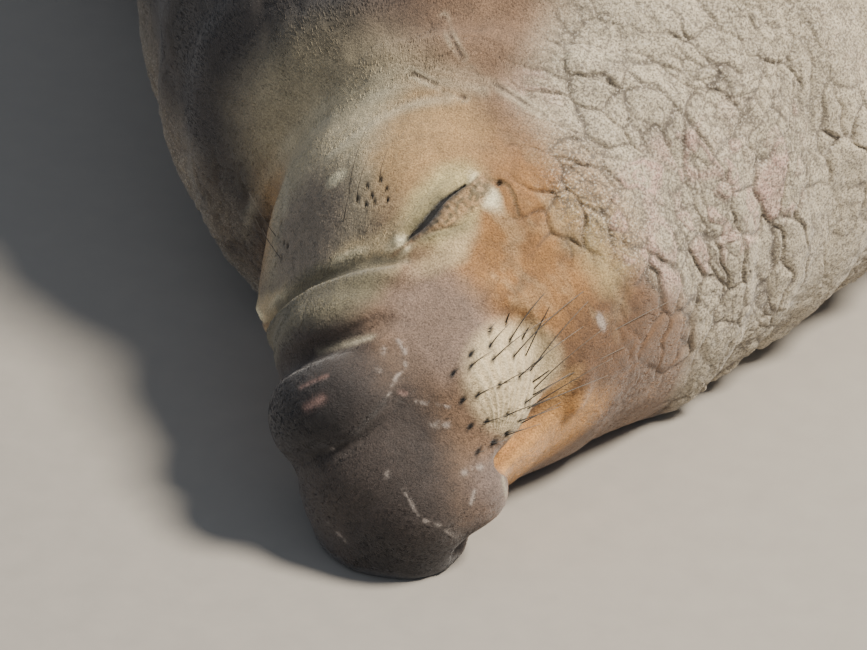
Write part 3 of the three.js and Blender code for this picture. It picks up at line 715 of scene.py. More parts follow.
def whisker_roots():
    """For each left whisker its root, the way out of the skin there, and its row and place in the row."""
    roots, rows = [], []
    for row, (first, last, count) in enumerate(WHISKER_ROWS):
        for share in np.linspace(0, 1, count):
            roots.append(np.array(first) + share * (np.array(last) - first))
            rows.append((row / (len(WHISKER_ROWS) - 1), share))
    points = settle(from_head(np.array(roots)), 5, 16)
    return to_head(points), units(slope_of(points) @ HEAD.T), np.array(rows)


def whisker_way(row):
    """Which way a whisker of a row points: up and back in the top row, down and back in the lowest."""
    return unit(np.array((-0.72, 0.52, 0.44)) * (1 - row) + np.array((-0.62, 0.62, -0.50)) * row)


class Marks:
    """The marks of the head's skin near each point, for relief and colour."""

    def __init__(self, q, side):
        self.lids, self.above_slit, self.slit_width = to_line(side, curve(SLIT, 4))
        self.open = 1 - smoothstep(self.lids / np.maximum(self.slit_width, 0.5), 0.75, 1.25)
        self.below, self.above_crease, self.crease_depth = to_line(side, curve(LOWER_LID, 3))
        self.over, _, self.over_depth = to_line(side, curve(UPPER_LID, 3))
        self.pits = np.max([bump(norms((q - pit) * PIT_SHAPE), PIT_SIZE) for pit in BROW_PITS], axis=0)
        self.ear = bump(norms(side - EAR), PIT_SIZE)
        self.ear_arc = groove(side, curve(EAR_ARC, 3), 1.8)
        self.follicles = np.zeros(len(q))
        near = norms(side - WHISKER_PAD[0]) < PAD_REACH
        for root, up, (row, share) in zip(*WHISKERS):
            off = side[near] - root
            way = whisker_way(0.35 * row)
            way = unit(way - (way @ up) * up)
            along = off @ way
            beside = np.abs(off @ np.cross(up, way))
            strength = (1 - 0.3 * share) * bump(beside, 2.0 - 0.5 * share) * bump(along - 1.5, 5.4)
            strength = strength * bump(norms(off), 12)
            self.follicles[near] = np.maximum(self.follicles[near], strength)
        fan = np.degrees(np.arctan2(side[:, 2] - LIP_FRONT[2], LIP_FRONT[0] - side[:, 0]))
        reach = norms(side - LIP_FRONT)
        self.pad = spot(side, (48, 124, -150), (52, 40, 50), 0.4)
        inside = smoothstep(fan, 2, 14) * (1 - smoothstep(fan, 72, 100)) * smoothstep(reach, 6, 20)
        inside = inside * (1 - smoothstep(reach, 84, PAD_REACH)) * self.pad
        self.furrows = np.cos(np.radians(fan * 360 / FURROW_STEP)) * inside
        self.deep = stroke(q, DEEP_CREASES)
        self.bands = stroke(q, BANDS) * (0.55 + 0.45 * noise(q, 34, 17))
        self.scars = stroke(q, SCARS) * smoothstep(noise(q, 5, 38) + 0.5 * noise(q, 2.4, 39), -0.5, 0.4)
        self.pink = stroke(q, PINK_SCARS)


WHISKERS = whisker_roots()
SLIT_DEPTH, CUT_DEPTH = 5, 1.3


def relief(at, marks, near):
    """How far the skin stands out of its smooth form, in millimetres."""
    p = at.p
    h = at.folded * (at.depth * np.tanh(at.plates / 0.15) * (1.5 + 4.0 * at.lift) - 2.0)
    h += at.folded * at.broken * (np.tanh(at.scales / 0.2) * (0.7 + 1.5 * at.scale_lift) - 1.0)
    h += at.shield * (1.0 * rough(p, 10, 18) + 1.6 * noise(p, 70, 19))
    long_folds = rough(p * (1, 0.24, 1), 52, 21)
    soft = (1 - at.shield) * (1 - at.limb) * (1 - 0.8 * at.head)
    h += soft * (1.3 + 2.2 * at.right * smoothstep(-p[:, 1], 330, 480)) * long_folds
    h += soft * (0.4 * noise(p, 12, 22) - 0.7 * wrinkles(p * (0.6, 1.3, 0.6), 46, 23))
    h += at.limb * 0.5 * rough(p, 14, 24)
    rear = soft * smoothstep(p[:, 1], -420, -100)
    rolls = 7 * noise(p, 330, 27) + 3 * rough(p * (0.5, 1.4, 0.5), 120, 28)
    h += rear * (rolls - 1.6 * wrinkles(p * (0.5, 1.3, 0.5), 90, 29))
    q = at.q[near]
    hide = 0.4 * rough(q, 24, 31) + 0.14 * noise(q, 4, 34)
    back = smoothstep(-q[:, 0], 10, 80) * smoothstep(-q[:, 2], -10, 50)
    steps = 1.3 * np.tanh(at.plates[near] / 0.3) * at.depth[near]
    hide += back * (steps + 0.9 * rough(q * (1.3, 0.7, 0.7), 20, 40))
    hide += back * 0.5 * at.broken[near] * np.tanh(at.scales[near] / 0.3)
    nose = smoothstep(q[:, 0], 50, 96)
    hide += nose * (0.5 * noise(q * (0.6, 0.3, 1.3), 11, 35) - 0.4 * wrinkles(q * (0.7, 0.45, 1.3), 24, 36))
    hide -= SLIT_DEPTH * marks.open
    hide += 2.6 * bump(marks.lids - 9, 5) * smoothstep(marks.above_slit, -2, 3)
    hide += 2.2 * bump(marks.lids - 9, 6) * smoothstep(-marks.above_slit, 0, 4)
    hide -= marks.crease_depth * bump(marks.below, 1.7) + marks.over_depth * bump(marks.over, 1.8)
    lower = smoothstep(-marks.above_slit, 2, 5) * smoothstep(marks.above_crease, -1, 2) * bump(marks.lids, 22)
    hide += 0.5 * lower * np.sin(q[:, 0] * 0.9 + 2.5 * noise(q, 9, 37))
    hide -= 2.4 * marks.pits + 7 * marks.ear + 0.8 * marks.ear_arc
    hide += 0.45 * marks.furrows - 1.8 * marks.follicles
    hide += 1.8 * marks.bands * bump(at.right[near], 1.2) + 0.4 * marks.scars - 0.5 * marks.pink
    h[near] += at.head[near] * hide
    return h - CUT_DEPTH * at.cuts


# Colours of the hide, as seen (sRGB). Some are painted light: painted shade on the right of the neck, on the
# rolls, in recesses, along the eye's slit and in the shield's creases; the pale band colour also paints
# highlights on rims.
TINTS = {
    "back": (0.44, 0.37, 0.30), "flank": (0.52, 0.45, 0.37), "belly": (0.60, 0.53, 0.43),
    "neck top": (0.50, 0.395, 0.305), "neck right shade": (0.23, 0.21, 0.20), "shield": (0.71, 0.66, 0.565),
    "pink": (0.78, 0.62, 0.57), "crust and crease shade": (0.31, 0.265, 0.23),
    "forehead": (0.70, 0.65, 0.53), "gold": (0.67, 0.53, 0.35), "between eyes": (0.50, 0.45, 0.385),
    "bridge": (0.74, 0.66, 0.51), "eye ring": (0.72, 0.665, 0.48), "cream": (0.97, 0.93, 0.78),
    "cheek": (0.59, 0.425, 0.25), "cheek low": (0.40, 0.29, 0.195), "jaw": (0.75, 0.56, 0.34),
    "lip": (0.82, 0.66, 0.45), "nose": (0.26, 0.225, 0.205), "roll shade": (0.14, 0.13, 0.135),
    "first roll": (0.43, 0.40, 0.315), "nose side": (0.50, 0.42, 0.365), "lobe": (0.44, 0.375, 0.34),
    "pad": (0.79, 0.71, 0.56), "recess shade": (0.06, 0.055, 0.06), "lash": (0.34, 0.32, 0.24),
    "lid": (0.62, 0.49, 0.35), "lid grey and slit shade": (0.10, 0.11, 0.14), "band and rim highlight": (0.80, 0.76, 0.65),
    "scar": (0.76, 0.71, 0.67), "flipper": (0.35, 0.29, 0.25),
}
# What is laid on the head first, in this order: tint, share, place, half sizes and softness, and for some
# a mottle: stretch, size, seed, and the noise at which it starts and is full.
HEAD_TINTS = [
    ("cheek", 1, (-50, 150, -100), (100, 120, 110), 0.9),
    ("forehead", 1, (-70, 0, 80), (140, 130, 110), 0.7),
    ("gold", 0.85, (-50, 112, 40), (70, 46, 56), 0.9),
    ("between eyes", 1, (14, 0, 48), (62, 66, 44), 0.8),
    ("bridge", 1, (44, 66, 4), (34, 54, 18), 0.8),
    ("cream", 0.55, (51, 52, 13), (9, 46, 6), 0.9),
    ("cheek low", 0.95, (-70, 125, -195), (90, 80, 62), 0.8),
    ("cheek low", 0.65, (-40, 150, -110), (80, 60, 70), 0.8, ((0.7, 1, 1.5), 30, 47, 0.05, 0.7)),
    ("bridge", 0.28, (-50, 150, -80), (80, 70, 90), 0.8, ((1.2, 1, 0.6), 17, 57, 0.0, 0.8)),
    ("cheek low", 0.35, (-40, 130, -120), (100, 90, 100), 0.7, ((0.9, 1, 0.7), 12, 59, 0.1, 0.8)),
    ("bridge", 0.8, (16, 116, -28), (40, 30, 15), 0.9),
    ("jaw", 1, (40, 80, -222), (80, 60, 34), 0.6),
    ("eye ring", 0.4, (-77, 165, -105), (26, 40, 45), 0.9),
    ("eye ring", 0.85, (-4, 132, 2), (42, 44, 25), 0.8),
    ("nose side", 1, (60, 96, -78), (46, 50, 56), 0.7),
    ("nose", 1, (158, -10, -130), (100, 108, 150), 0.4),
    # painted shade on the second roll and on the lower trunk, which face away from the light
    ("roll shade", 0.85, (150, -10, -66), (54, 74, 36), 0.9),
    ("roll shade", 0.9, (160, -50, -205), (80, 86, 66), 0.8),
    ("lobe", 1, (110, 78, -206), (36, 34, 30), 0.8),
    ("first roll", 1, (72, 0, -4), (42, 104, 30), 0.5),
    ("lip", 1, (30, 112, -184), (44, 30, 14), 0.7),
    ("cream", 0.9, (-35, 150, -12), (9, 13, 19), 1.0),
    ("cream", 0.8, (38, 102, 0), (9, 10, 8), 0.9),
]


def linear(colour):
    c = np.asarray(colour, float)
    return np.where(c <= 0.04045, c / 12.92, ((c + 0.055) / 1.055) ** 2.4)


class Paint:
    """Colours laid over each other, each with its share."""

    def __init__(self, colour):
        self.colour = colour

    def lay(self, name, share):
        share = np.clip(share, 0, 1)[:, None]
        self.colour = self.colour * (1 - share) + linear(TINTS[name]) * share


def paint_head(paint, s, marks, q):
    """The head's own colours; s is the place with a little noise, which keeps the borders ragged."""
    lay = paint.lay
    for name, share, where, size, edge, *mottles in HEAD_TINTS:
        mark = share * spot(s, where, size, edge)
        for stretch, grain, seed, low, high in mottles:
            mark *= smoothstep(rough(q * stretch, grain, seed), low, high)
        lay(name, mark)
    lay("pad", marks.pad)
    lay("scar", 0.5 * spot(q + 0.4 * (s - q), (-46, 148, -164), (4, 9, 9), 0.7))
    lay("cream", 0.6 * spot(q + 0.3 * (s - q), (-12, 38, 69), (6, 12, 6), 1.0))
    lay("band and rim highlight", 0.75 * marks.bands)
    lay("band and rim highlight", 0.18 * smoothstep(marks.furrows, 0, 1))
    # painted highlight along the rims of the rolls and of the nostril lobe
    lay("band and rim highlight", 0.45 * stroke(q, RIM_HIGHLIGHTS))
    upper, wide = smoothstep(marks.above_slit, -2, 3), smoothstep(marks.slit_width, 0.7, 2)
    lay("lash", 0.85 * bump(marks.lids - 3, 8) * upper * wide)
    lower = smoothstep(-marks.above_slit, 0, 3) * smoothstep(marks.above_crease, -3, 2)
    lower = lower * (1 - smoothstep(marks.lids, 17, 27))
    lay("lid", 0.85 * lower)
    lay("lash", 0.55 * bump(marks.below - 2, 7) * smoothstep(-marks.above_crease, -3, 3) * wide)
    lay("lash", 0.7 * lower * smoothstep(noise(q * (0.6, 1.2, 1.2), 3.4, 58), -0.1, 0.5))
    # the lids' dark skin and painted shade along the eye's slit
    edge = bump(marks.lids, 1.5 + 2.6 * marks.slit_width)
    lay("lid grey and slit shade", 0.95 * edge * smoothstep(-marks.above_slit, -4, 1))
    # painted shade in the crease under the lower lid
    lay("recess shade", 0.5 * bump(marks.below, 1.0) * smoothstep(marks.crease_depth, 0.2, 1.2))
    # painted shade in the eye's slit, the brow pits, the whisker follicles, the ear and the deep creases
    shaded_holes = (1, marks.open), (0.9, marks.pits), (1.3, marks.follicles), (0.95, marks.ear), (0.5, marks.deep)
    for share, mark in shaded_holes:
        lay("recess shade", share * mark)
    lay("lash", 0.5 * np.clip(marks.ear_arc, 0, 1))
    lay("scar", 0.5 * marks.scars)
    lay("pink", 0.4 * marks.pink)


def colours(at, marks, near, h):
    """The skin's colours; near picks the head's points, and the hollows of the relief h get painted shade."""
    p, q = at.p, at.q
    wave = wander(p, 60, 41)
    fine = wander(p, 14, 46)
    blotch = rough(p, 120, 45)
    paint = Paint(np.tile(linear(TINTS["back"]), (len(p), 1)))
    lay = paint.lay
    turn = at.angle + 14 * blotch
    fore = 1 - smoothstep(p[:, 1] + 60 * blotch, -420, -60)
    lay("flank", smoothstep(turn, 45, 80))
    lay("belly", smoothstep(turn, 95, 130))
    lay("neck top", fore)
    # painted shade: the neck is darkened down its right side, away from the light
    lay("neck right shade", fore * smoothstep(-p[:, 0], -70, 110) * smoothstep(turn, -5, 40))
    lay("flank", 0.6 * fore * at.right * smoothstep(turn, 80, 110))
    # painted shade: the pale shield colour is halved on the right side, away from the light
    lay("shield", at.shield * (1 - 0.5 * at.right) * (1 - 0.5 * smoothstep(p[:, 1], -720, -300)))
    lay("flipper", at.limb)
    face_paint = Paint(paint.colour[near])
    s = at.side[near] + 8 * wave[near] + 4 * fine[near]
    paint_head(face_paint, s, marks, q[near])
    on = at.head[near][:, None]
    paint.colour[near] += on * (face_paint.colour - paint.colour[near])
    rosy = at.shield * (1 - at.right) * smoothstep(rough(p, 110, 51), 0.0, 0.35)
    lay("pink", 0.7 * rosy * smoothstep(at.lift, 0.5, 0.9) * bump(at.plates - 0.22, 0.16))
    lay("pink", 0.6 * rosy * smoothstep(at.scale_lift, 0.6, 0.9) * bump(at.scales - 0.25, 0.2))
    # painted shade in the creases between the shield's plates and scales
    lay("crust and crease shade", 0.8 * at.folded * at.depth * bump(at.plates, 0.06))
    lay("crust and crease shade", 0.6 * at.folded * at.broken * bump(at.scales, 0.09))
    lay("crust and crease shade", 0.4 * at.shield * smoothstep(noise(p, 5, 53), 0.4, 0.8))
    lay("band and rim highlight", 0.35 * at.cut_rims)
    lay("crust and crease shade", 0.8 * at.cuts)
    shade = 1 + 0.12 * rough(p, 24, 61) + 0.10 * noise(p, 5, 65)
    # painted shade in the hollows of the relief
    shade *= 1 - 0.3 * smoothstep(-h, 1.0, 4)
    return np.clip(paint.colour * shade[:, None], 0, 1)


def make_skin():
    """The smooth skin, with the finest mesh round the lids and the whisker pads."""
    low, high = (np.array(c) * 1000 - OFFSET for c in cad_box)
    points, quads = surface_net(low - NET_MARGIN, high + NET_MARGIN, BASE_CELL)
    mesh = bpy.data.meshes.new("skin")
    mesh.from_pydata(settle(points, 5, 2 * SWELL), [], quads.tolist())
    refine(mesh, lambda p: front(p) | flippers(p))
    refine(mesh, head_and_neck)
    refine(mesh, face)
    refine(mesh, near_neck)
    refine(mesh, lids_and_pads)
    return mesh


def add_colour(mesh, colour, dust):
    flat = np.concatenate([colour, dust[:, None]], axis=1).astype(np.float32)
    mesh.color_attributes.new("Hide", "FLOAT_COLOR", "POINT").data.foreach_set("color", flat.ravel())


def finish_skin(mesh):
    """Gives the skin its relief and colours, and tells where its points lie and the way out of it there."""
    p = read_points(mesh)
    n = units(slope_of(p))
    at = Place(p)
    near = at.head > 0.02
    marks = Marks(at.q[near], at.side[near])
    h = relief(at, marks, near) * smoothstep(p[:, 2], 2, 14)
    add_colour(mesh, colours(at, marks, near, h), at.shield)
    moved = p + h[:, None] * n
    moved[:, 2] = np.maximum(moved[:, 2], FLOOR_GAP)
    mesh.vertices.foreach_set("co", place(moved).astype(np.float32).ravel())
    mesh.update()
    return moved, n


# The coat: thin tufts that lie along the body. For each piece how many, their length and width, and how far
# they rise for each millimetre of length.
COAT_PIECES = {
    "coat_face": (46000, 4.0, 0.6, 0.04), "coat_neck": (49000, 4.4, 0.8, 0.06),
    "coat_nape": (49000, 5.0, 0.9, 0.05), "coat_chest": (40000, 8.0, 1.8, 0.08),
    "coat_flanks": (32000, 10.0, 2.4, 0.08), "coat_rear": (20000, 10.0, 2.4, 0.08),
    "coat_flippers": (16000, 6.0, 1.4, 0.06),
}
FACE, FLIPPERS = 0, 6  # the numbers of two of these pieces
TUFT_SINK, TUFT_LOWEST_ROOT, TUFT_PATCH = 0.35, 10, 0.0015
TUFT_TONES = np.array([0.88, 0.88, 1.0, 1.1])  # of the four corners, from root to tip


def region_of(p):
    """The index of the coat piece that covers each point."""
    y = p[:, 1]
    on_face = (to_head(p)[:, 0] > -64) & (y < HEAD_REAR_Y)
    on_neck = y < NECK_REAR_Y
    zones = [limb_share(p) > 0.5, on_face, on_neck & (p[:, 0] > 0), on_neck, y < 300, y < 1400]
    return np.select(zones, [FLIPPERS, FACE, 1, 2, 3, 4], 5)


def lie_of(p, n, at):
    """Which way the hair lies."""
    rearward = np.tile((0.0, 1.0, -0.12), (len(p), 1))
    lie = rearward * (1 - at.head)[:, None] - HEAD[0] * at.head[:, None]
    lie[:, 2] -= 0.25 * at.head
    for limb in LIMBS:
        lie += limb.axes[0] * 3 * limb.share(p)[:, None]
    lie += 0.28 * wander(p, 40, 71)
    lie -= (lie * n).sum(axis=1)[:, None] * n
    return lie / np.maximum(norms(lie), 1e-6)[:, None]


def unwrap(p, region):
    """A place from 0 to 1 on a region of the skin, opened out flat."""
    q = to_head(p)
    if region == FACE:
        uv = np.stack([np.arctan2(q[:, 1], q[:, 2] + 90), q[:, 0]], axis=1)
    else:
        uv = np.stack([np.arctan2(p[:, 0], p[:, 2] - 220), p[:, 1]], axis=1)
    for number, limb in enumerate(LIMBS if region == FLIPPERS else ()):
        near = limb.near(p)
        local = limb.local(p[near])
        column = number * 2 + (local[:, 2] < 0)
        uv[near] = np.stack([column + 0.5 + local[:, 1] / 700, local[:, 0] / 100], axis=1)
    low, high = uv.min(axis=0), uv.max(axis=0)
    return 0.01 + 0.98 * (uv - low) / (high - low)


def tuft_roots(mesh, p, n, rng):
    """For each coat piece, where its tufts grow, the way out of the skin there, and the skin's colour."""
    mesh.calc_loop_triangles()
    tri = np.empty(len(mesh.loop_triangles) * 3, dtype=np.int32)
    mesh.loop_triangles.foreach_get("vertices", tri)
    tri = tri.reshape(-1, 3)
    middle = p[tri].mean(axis=1)
    area = norms(np.cross(p[tri[:, 1]] - p[tri[:, 0]], p[tri[:, 2]] - p[tri[:, 0]])) / 2
    area = area * (middle[:, 2] > TUFT_LOWEST_ROOT)
    region = region_of(middle)
    hide = np.empty(len(mesh.vertices) * 4, dtype=np.float32)
    mesh.color_attributes["Hide"].data.foreach_get("color", hide)
    hide = hide.reshape(-1, 4)
    roots = []
    for number, (count, *_) in enumerate(COAT_PIECES.values()):
        weight = np.where(region == number, area, 0)
        count = count
        pick = rng.choice(len(tri), count, p=weight / weight.sum())
        share = rng.random((count, 2))
        share = np.where(share.sum(axis=1, keepdims=True) > 1, 1 - share, share)
        share = np.concatenate([share, 1 - share.sum(axis=1, keepdims=True)], axis=1)
        roots.append([(values[tri[pick]] * share[:, :, None]).sum(axis=1) for values in (p, n, hide)])
    return roots


def make_tufts(number, name, root, up, tint, rng, material):
    """One coat piece, whose tufts are thin closed slivers with their own patch of the map each."""
    up = units(up)
    at = Place(root)
    along = lie_of(root, up, at)
    across = np.cross(up, along)
    _, length, width, lift = COAT_PIECES[name]
    length = length * (1 - 0.35 * at.shield[:, None]) * rng.uniform(0.7, 1.3, len(root))[:, None]
    rise = lift * length * rng.uniform(0.5, 1.2, len(root))[:, None]
    shift = across * rng.uniform(-0.25, 0.25, len(root))[:, None] * length
    corners = np.stack([
        root - across * width / 2 - up * TUFT_SINK,
        root + across * width / 2 - up * TUFT_SINK,
        root + along * length * 0.45 + up * rise,
        root + along * length + up * rise * 0.7 + shift,
    ], axis=1)
    corners[:, :, 2] = np.maximum(corners[:, :, 2], FLOOR_GAP)
    tuft = bpy.data.meshes.new(name)
    start = np.arange(len(root))[:, None, None] * 4
    faces = start + np.array([(0, 2, 1), (0, 3, 2), (1, 2, 3), (0, 1, 3)])
    tuft.from_pydata(place(corners.reshape(-1, 3)).tolist(), [], faces.reshape(-1, 3).tolist())
    fresh = rng.uniform(0.68, 1.3, len(root))[:, None, None]
    tone = tint[:, None, :3] * fresh * TUFT_TONES[None, :, None]
    add_colour(tuft, np.clip(tone.reshape(-1, 3), 0, 1), np.repeat(tint[:, 3], 4))
    patch = np.array([(-1, -1), (1, -1), (0, 0), (0, 1)]) * TUFT_PATCH
    spots = (unwrap(root, number)[:, None, :] + patch).reshape(-1, 2)
    layer = tuft.uv_layers.new(name="OFBake")
    layer.data.foreach_set("uv", spots[faces.reshape(-1)].astype(np.float32).ravel())
    tuft.materials.append(material)
    piece = bpy.data.objects.new(name, tuft)
    bpy.context.scene.collection.objects.link(piece)
    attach(piece, "root")


def make_coat(mesh, p, n, material):
    rng = np.random.default_rng(7)
    roots = tuft_roots(mesh, p, n, rng)
    for number, (name, found) in enumerate(zip(COAT_PIECES, roots)):
        make_tufts(number, name, *found, rng, material)


# Whiskers and brow hairs.

WHISKER_SIDES, WHISKER_STEPS = 5, 14
WHISKER_ROOT_TINT, WHISKER_TIP_TINT = (0.09, 0.08, 0.075), (0.5, 0.46, 0.41)
# Radius at the root and at the tip, and the lengths of the first and the last whisker of a row.
WHISKER_RADII, WHISKER_LENGTHS = (0.62, 0.18), (12, 150)
BROW_HAIR_ROOTS, BROW_HAIR_LENGTHS, BROW_HAIR_RADII = (0, 2, 8, 12), (40, 28, 60, 40), (0.34, 0.12)


def hair(root, way, bend, length, radii):
    """Points and faces of one closed tapered hair, and how far along it each point is."""
    t = np.linspace(0, 1, WHISKER_STEPS)
    line = root + length * (np.outer(t, way) + np.outer(t * t, bend))
    ahead = units(np.gradient(line, axis=0))
    across = units(np.cross(ahead, (0.3, 0.2, 0.93)))
    over = np.cross(ahead, across)
    turn = np.linspace(0, 2 * math.pi, WHISKER_SIDES, endpoint=False)
    radius = (radii[0] + (radii[1] - radii[0]) * t)[:, None, None]
    round_it = np.cos(turn)[:, None] * across[:, None] + np.sin(turn)[:, None] * over[:, None]
    rings = line[:, None] + radius * round_it
    last = WHISKER_STEPS - 1
    tip = tuple(last * WHISKER_SIDES + i for i in reversed(range(WHISKER_SIDES)))
    faces = [tuple(range(WHISKER_SIDES)), tip]
    for step in range(last):
        for i in range(WHISKER_SIDES):
            a, b = step * WHISKER_SIDES + i, step * WHISKER_SIDES + (i + 1) % WHISKER_SIDES
            faces.append((a, a + WHISKER_SIDES, b + WHISKER_SIDES, b))
    return rings.reshape(-1, 3), faces, np.repeat(t, WHISKER_SIDES)


def make_whiskers(material):
    rng = np.random.default_rng(11)
    hairs = []
    for root, up, (row, share) in zip(*WHISKERS):
        reach = WHISKER_LENGTHS[0] + (WHISKER_LENGTHS[1] - WHISKER_LENGTHS[0]) * share ** 1.6
        reach = reach * (1 - 0.55 * row ** 2) * rng.uniform(0.8, 1.15)
        way = whisker_way(row)
        way = unit(way - (way @ up) * up + 0.42 * up)
        bend = np.array((-0.26, 0.02, -0.20)) * rng.uniform(0.6, 1.4) - 0.12 * up
        hairs.append((root - 1.5 * up, way, bend, reach, WHISKER_RADII))
    for index, reach in zip(BROW_HAIR_ROOTS, BROW_HAIR_LENGTHS):
        root = np.array(BROW_PITS[index], float) * (1, np.sign(BROW_PITS[index][1]), 1)
        way, bend = unit(np.array((-0.45, 0.5, 0.74))), np.array((-0.2, 0.1, -0.1))
        hairs.append((root, way, bend, reach, BROW_HAIR_RADII))
    points, faces, along = [], [], []
    for root, way, bend, reach, radii in hairs:
        for side in (1, -1):
            ring, quads, t = hair(root, way, bend, reach, radii)
            start = sum(map(len, points))
            points.append(from_head(ring * (1, side, 1)))
            faces += [tuple(start + i for i in (q if side > 0 else reversed(q))) for q in quads]
            along.append(t)
    mesh = bpy.data.meshes.new("whiskers")
    p = np.concatenate(points)
    p[:, 2] = np.maximum(p[:, 2], FLOOR_GAP)
    mesh.from_pydata(place(p).tolist(), [], faces)
    t = np.concatenate(along)[:, None]
    tone = linear(WHISKER_ROOT_TINT) * (1 - t**2) + linear(WHISKER_TIP_TINT) * t**2
    add_colour(mesh, tone, np.zeros(len(p)))
    mesh.materials.append(material)
    main_object(mesh, "whiskers")


# Materials.

class Nodes:
    """Short calls for building a node material."""

    def __init__(self, name):
        self.material = bpy.data.materials.new(name)
        self.material.use_nodes = True
        self.tree = self.material.node_tree
        self.shader = self.tree.nodes["Principled BSDF"]

    def add(self, kind, **values):
        node = self.tree.nodes.new(kind)
        for key, value in values.items():
            if hasattr(node, key):
                setattr(node, key, value)
            else:
                node.inputs[key.replace("_", " ")].default_value = value
        return node

    def link(self, out, into):
        self.tree.links.new(out, into)

    def set(self, **values):
        for key, value in values.items():
            self.shader.inputs[key.replace("_", " ")].default_value = value

    def noise(self, scale, detail, roughness):
        where = self.add("ShaderNodeTexCoord")
        node = self.add("ShaderNodeTexNoise", Scale=scale, Detail=detail, Roughness=roughness)
        self.link(where.outputs["Object"], node.inputs["Vector"])
        return node.outputs["Fac"]

    def mapped(self, out, low, high, start, end):
        node = self.add("ShaderNodeMapRange")
        for key, value in zip(("From Min", "From Max", "To Min", "To Max"), (low, high, start, end)):
            node.inputs[key].default_value = value
        self.link(out, node.inputs["Value"])
        return node.outputs["Result"]

    def scaled(self, colour, factor):
        node = self.add("ShaderNodeVectorMath", operation="SCALE")
        self.link(colour, node.inputs[0])
        self.link(factor, node.inputs["Scale"])
        return node.outputs[0]

    def product(self, a, b):
        node = self.add("ShaderNodeMath", operation="MULTIPLY")
        self.link(a, node.inputs[0])
        self.link(b, node.inputs[1])
        return node.outputs[0]

    def mixed(self, share, colour, tint):
        node = self.add("ShaderNodeMix", data_type="RGBA")
        self.link(share, node.inputs[0])
        self.link(colour, node.inputs[6])
        node.inputs[7].default_value = (*tint, 1)
        return node.outputs[2]

    def bump(self, height, strength, distance, under=None):
        node = self.add("ShaderNodeBump", Strength=strength, Distance=distance)
        self.link(height, node.inputs["Height"])
        if under:
            self.link(under, node.inputs["Normal"])
        return node.outputs["Normal"]


def hide_material():
    """The vertex colours with a grain, with pores and specks of sand where their alpha marks the shield."""
    m = Nodes("hide")
    hide = m.add("ShaderNodeAttribute", attribute_name="Hide")
    grain, patch, sand = m.noise(620, 4, 0.7), m.noise(90, 5, 0.6), m.noise(480, 2, 0.5)
    colour = m.scaled(hide.outputs["Color"], m.mapped(grain, 0.36, 0.64, 0.62, 1.38))
    colour = m.scaled(colour, m.mapped(patch, 0.3, 0.7, 0.88, 1.12))
    speck = m.mapped(sand, 0.56, 0.66, 0, 0.7)
    pore = m.mapped(sand, 0.49, 0.37, 0, 0.85)
    colour = m.mixed(m.product(pore, hide.outputs["Alpha"]), colour, (0.15, 0.125, 0.10))
    colour = m.mixed(m.product(speck, hide.outputs["Alpha"]), colour, (0.60, 0.53, 0.43))
    m.link(colour, m.shader.inputs["Base Color"])
    m.link(m.mapped(patch, 0.3, 0.7, 0.55, 0.8), m.shader.inputs["Roughness"])
    m.link(m.bump(patch, 0.3, 0.003, m.bump(grain, 0.8, 0.0012)), m.shader.inputs["Normal"])
    m.set(Sheen_Weight=0.25, Sheen_Roughness=0.5, Specular_IOR_Level=0.3)
    return m.material


def hair_material():
    m = Nodes("whisker")
    tone = m.add("ShaderNodeAttribute", attribute_name="Hide")
    patch = m.noise(300, 2, 0.5)
    colour = m.scaled(tone.outputs["Color"], m.mapped(patch, 0.3, 0.7, 0.7, 1.3))
    m.link(colour, m.shader.inputs["Base Color"])
    m.link(m.mapped(patch, 0.3, 0.7, 0.3, 0.5), m.shader.inputs["Roughness"])
    m.set(Specular_IOR_Level=0.5)
    return m.material


def simple_material(name, colour, spread, roughness, scale, grain, **values):
    """A tone with soft mottling and a fine grain."""
    m = Nodes(name)
    patch = m.noise(scale, 5, 0.6)
    base = m.add("ShaderNodeRGB")
    base.outputs[0].default_value = (*colour, 1)
    tone = m.mapped(patch, 0.3, 0.7, 1 - spread, 1 + spread)
    m.link(m.scaled(base.outputs[0], tone), m.shader.inputs["Base Color"])
    m.link(m.mapped(patch, 0.3, 0.7, roughness * 0.85, roughness * 1.15), m.shader.inputs["Roughness"])
    m.link(m.bump(patch, 0.4, grain), m.shader.inputs["Normal"])
    m.set(**values)
    return m.material


def main_object(mesh, name):
    mesh.shade_smooth()
    piece = bpy.data.objects.new(name, mesh)
    bpy.context.scene.collection.objects.link(piece)
    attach(piece, "root")
    return piece


FLESH_NODES = [
    "head", "proboscis", "lower_jaw", "neck", "chest", "belly", "hips", "tail",
    "fore_flipper_left", "fore_flipper_right", "hind_flipper_left", "hind_flipper_right",
]

EYE_STEPS, EYE_RINGS, EYE_CLEARANCE = 48, 32, 1


def make_eye(name, side, material):
    bm = bmesh.new()
    radius = (EYE_RADIUS - EYE_CLEARANCE) / 1000
    bmesh.ops.create_uvsphere(bm, u_segments=EYE_STEPS, v_segments=EYE_RINGS, radius=radius)
    centre = place(from_head(np.array(EYE_AT) * (1, side, 1)))
    bmesh.ops.translate(bm, verts=bm.verts, vec=centre)
    mesh = bpy.data.meshes.new(name)
    bm.to_mesh(mesh)
    bm.free()
    mesh.materials.append(material)
    eye = main_object(mesh, name)
    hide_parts(name.replace("ball", "eye"))


hide = hide_material()
skin_mesh = make_skin()
skin_points, skin_normals = finish_skin(skin_mesh)
skin_mesh.materials.append(hide)
skin = main_object(skin_mesh, "skin")
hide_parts(*FLESH_NODES)
make_coat(skin_mesh, skin_points, skin_normals, hide)
make_whiskers(hair_material())

wet = simple_material("wet_eye", (0.006, 0.006, 0.009), 0.3, 0.36, 160, 0.0001, Specular_IOR_Level=0.2)
make_eye("ball_left", 1, wet)
make_eye("ball_right", -1, wet)

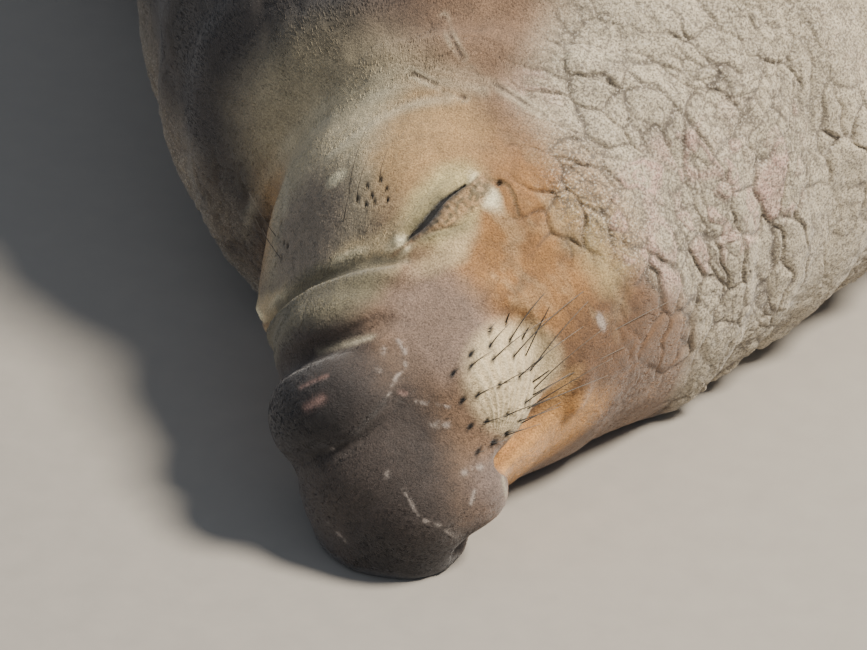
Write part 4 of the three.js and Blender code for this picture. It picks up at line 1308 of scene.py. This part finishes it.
horn = simple_material("horn", (0.035, 0.028, 0.022), 0.35, 0.42, 240, 0.0006, Specular_IOR_Level=0.4)
for name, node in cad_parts.items():
    if name.startswith("claw"):
        node.data.materials.clear()
        node.data.materials.append(horn)

# Camera, at the photograph's angle.
AZIMUTH, ELEVATION, DISTANCE, LENS = 13.5, 32, 6.0, 286
FRAME_RIGHT, FRAME_DOWN = 0.069, 0.056  # the picture's centre from the point between the eyes
FLOOR_TINT, SKY_TINT, SKY_STRENGTH = (0.36, 0.33, 0.29), (0.74, 0.84, 1.0), 0.38
KEY_WAY, KEY_DISTANCE, KEY_SIZE, KEY_POWER, KEY_TINT = (0.6, 0.02, 0.8), 6.0, 1.6, 830, (1.0, 0.93, 0.82)


def make_camera():
    a, e = math.radians(AZIMUTH), math.radians(ELEVATION)
    back = Vector((math.sin(a) * math.cos(e), -math.cos(a) * math.cos(e), math.sin(e)))
    right = Vector((math.cos(a), math.sin(a), 0))
    up = back.cross(right)
    target = Vector(place(EYES)) + right * FRAME_RIGHT - up * FRAME_DOWN
    camera = bpy.data.objects.new("camera", bpy.data.cameras.new("camera"))
    camera.data.lens = LENS
    turn = Matrix((right, up, back)).transposed().to_4x4()
    camera.matrix_world = Matrix.Translation(target + back * DISTANCE) @ turn
    bpy.context.scene.collection.objects.link(camera)
    bpy.context.scene.camera = camera


def make_light():
    light = bpy.data.objects.new("key", bpy.data.lights.new("key", "AREA"))
    light.data.shape = "DISK"
    light.data.size = KEY_SIZE
    light.data.energy = KEY_POWER
    light.data.color = KEY_TINT
    way = Vector(KEY_WAY).normalized()
    light.location = Vector(place(EYES)) + way * KEY_DISTANCE
    light.rotation_euler = way.to_track_quat("Z", "Y").to_euler()
    bpy.context.scene.collection.objects.link(light)


def make_stage():
    bpy.ops.mesh.primitive_grid_add(size=40, x_subdivisions=2, y_subdivisions=2)
    floor = bpy.context.object
    floor.name = "floor"
    floor.data.materials.append(simple_material("floor", FLOOR_TINT, 0.04, 0.9, 30, 0.0005))
    world = bpy.data.worlds.new("studio")
    world.use_nodes = True
    sky = world.node_tree.nodes["Background"]
    sky.inputs["Color"].default_value = (*SKY_TINT, 1)
    sky.inputs["Strength"].default_value = SKY_STRENGTH
    bpy.context.scene.world = world


make_camera()
make_stage()
make_light()
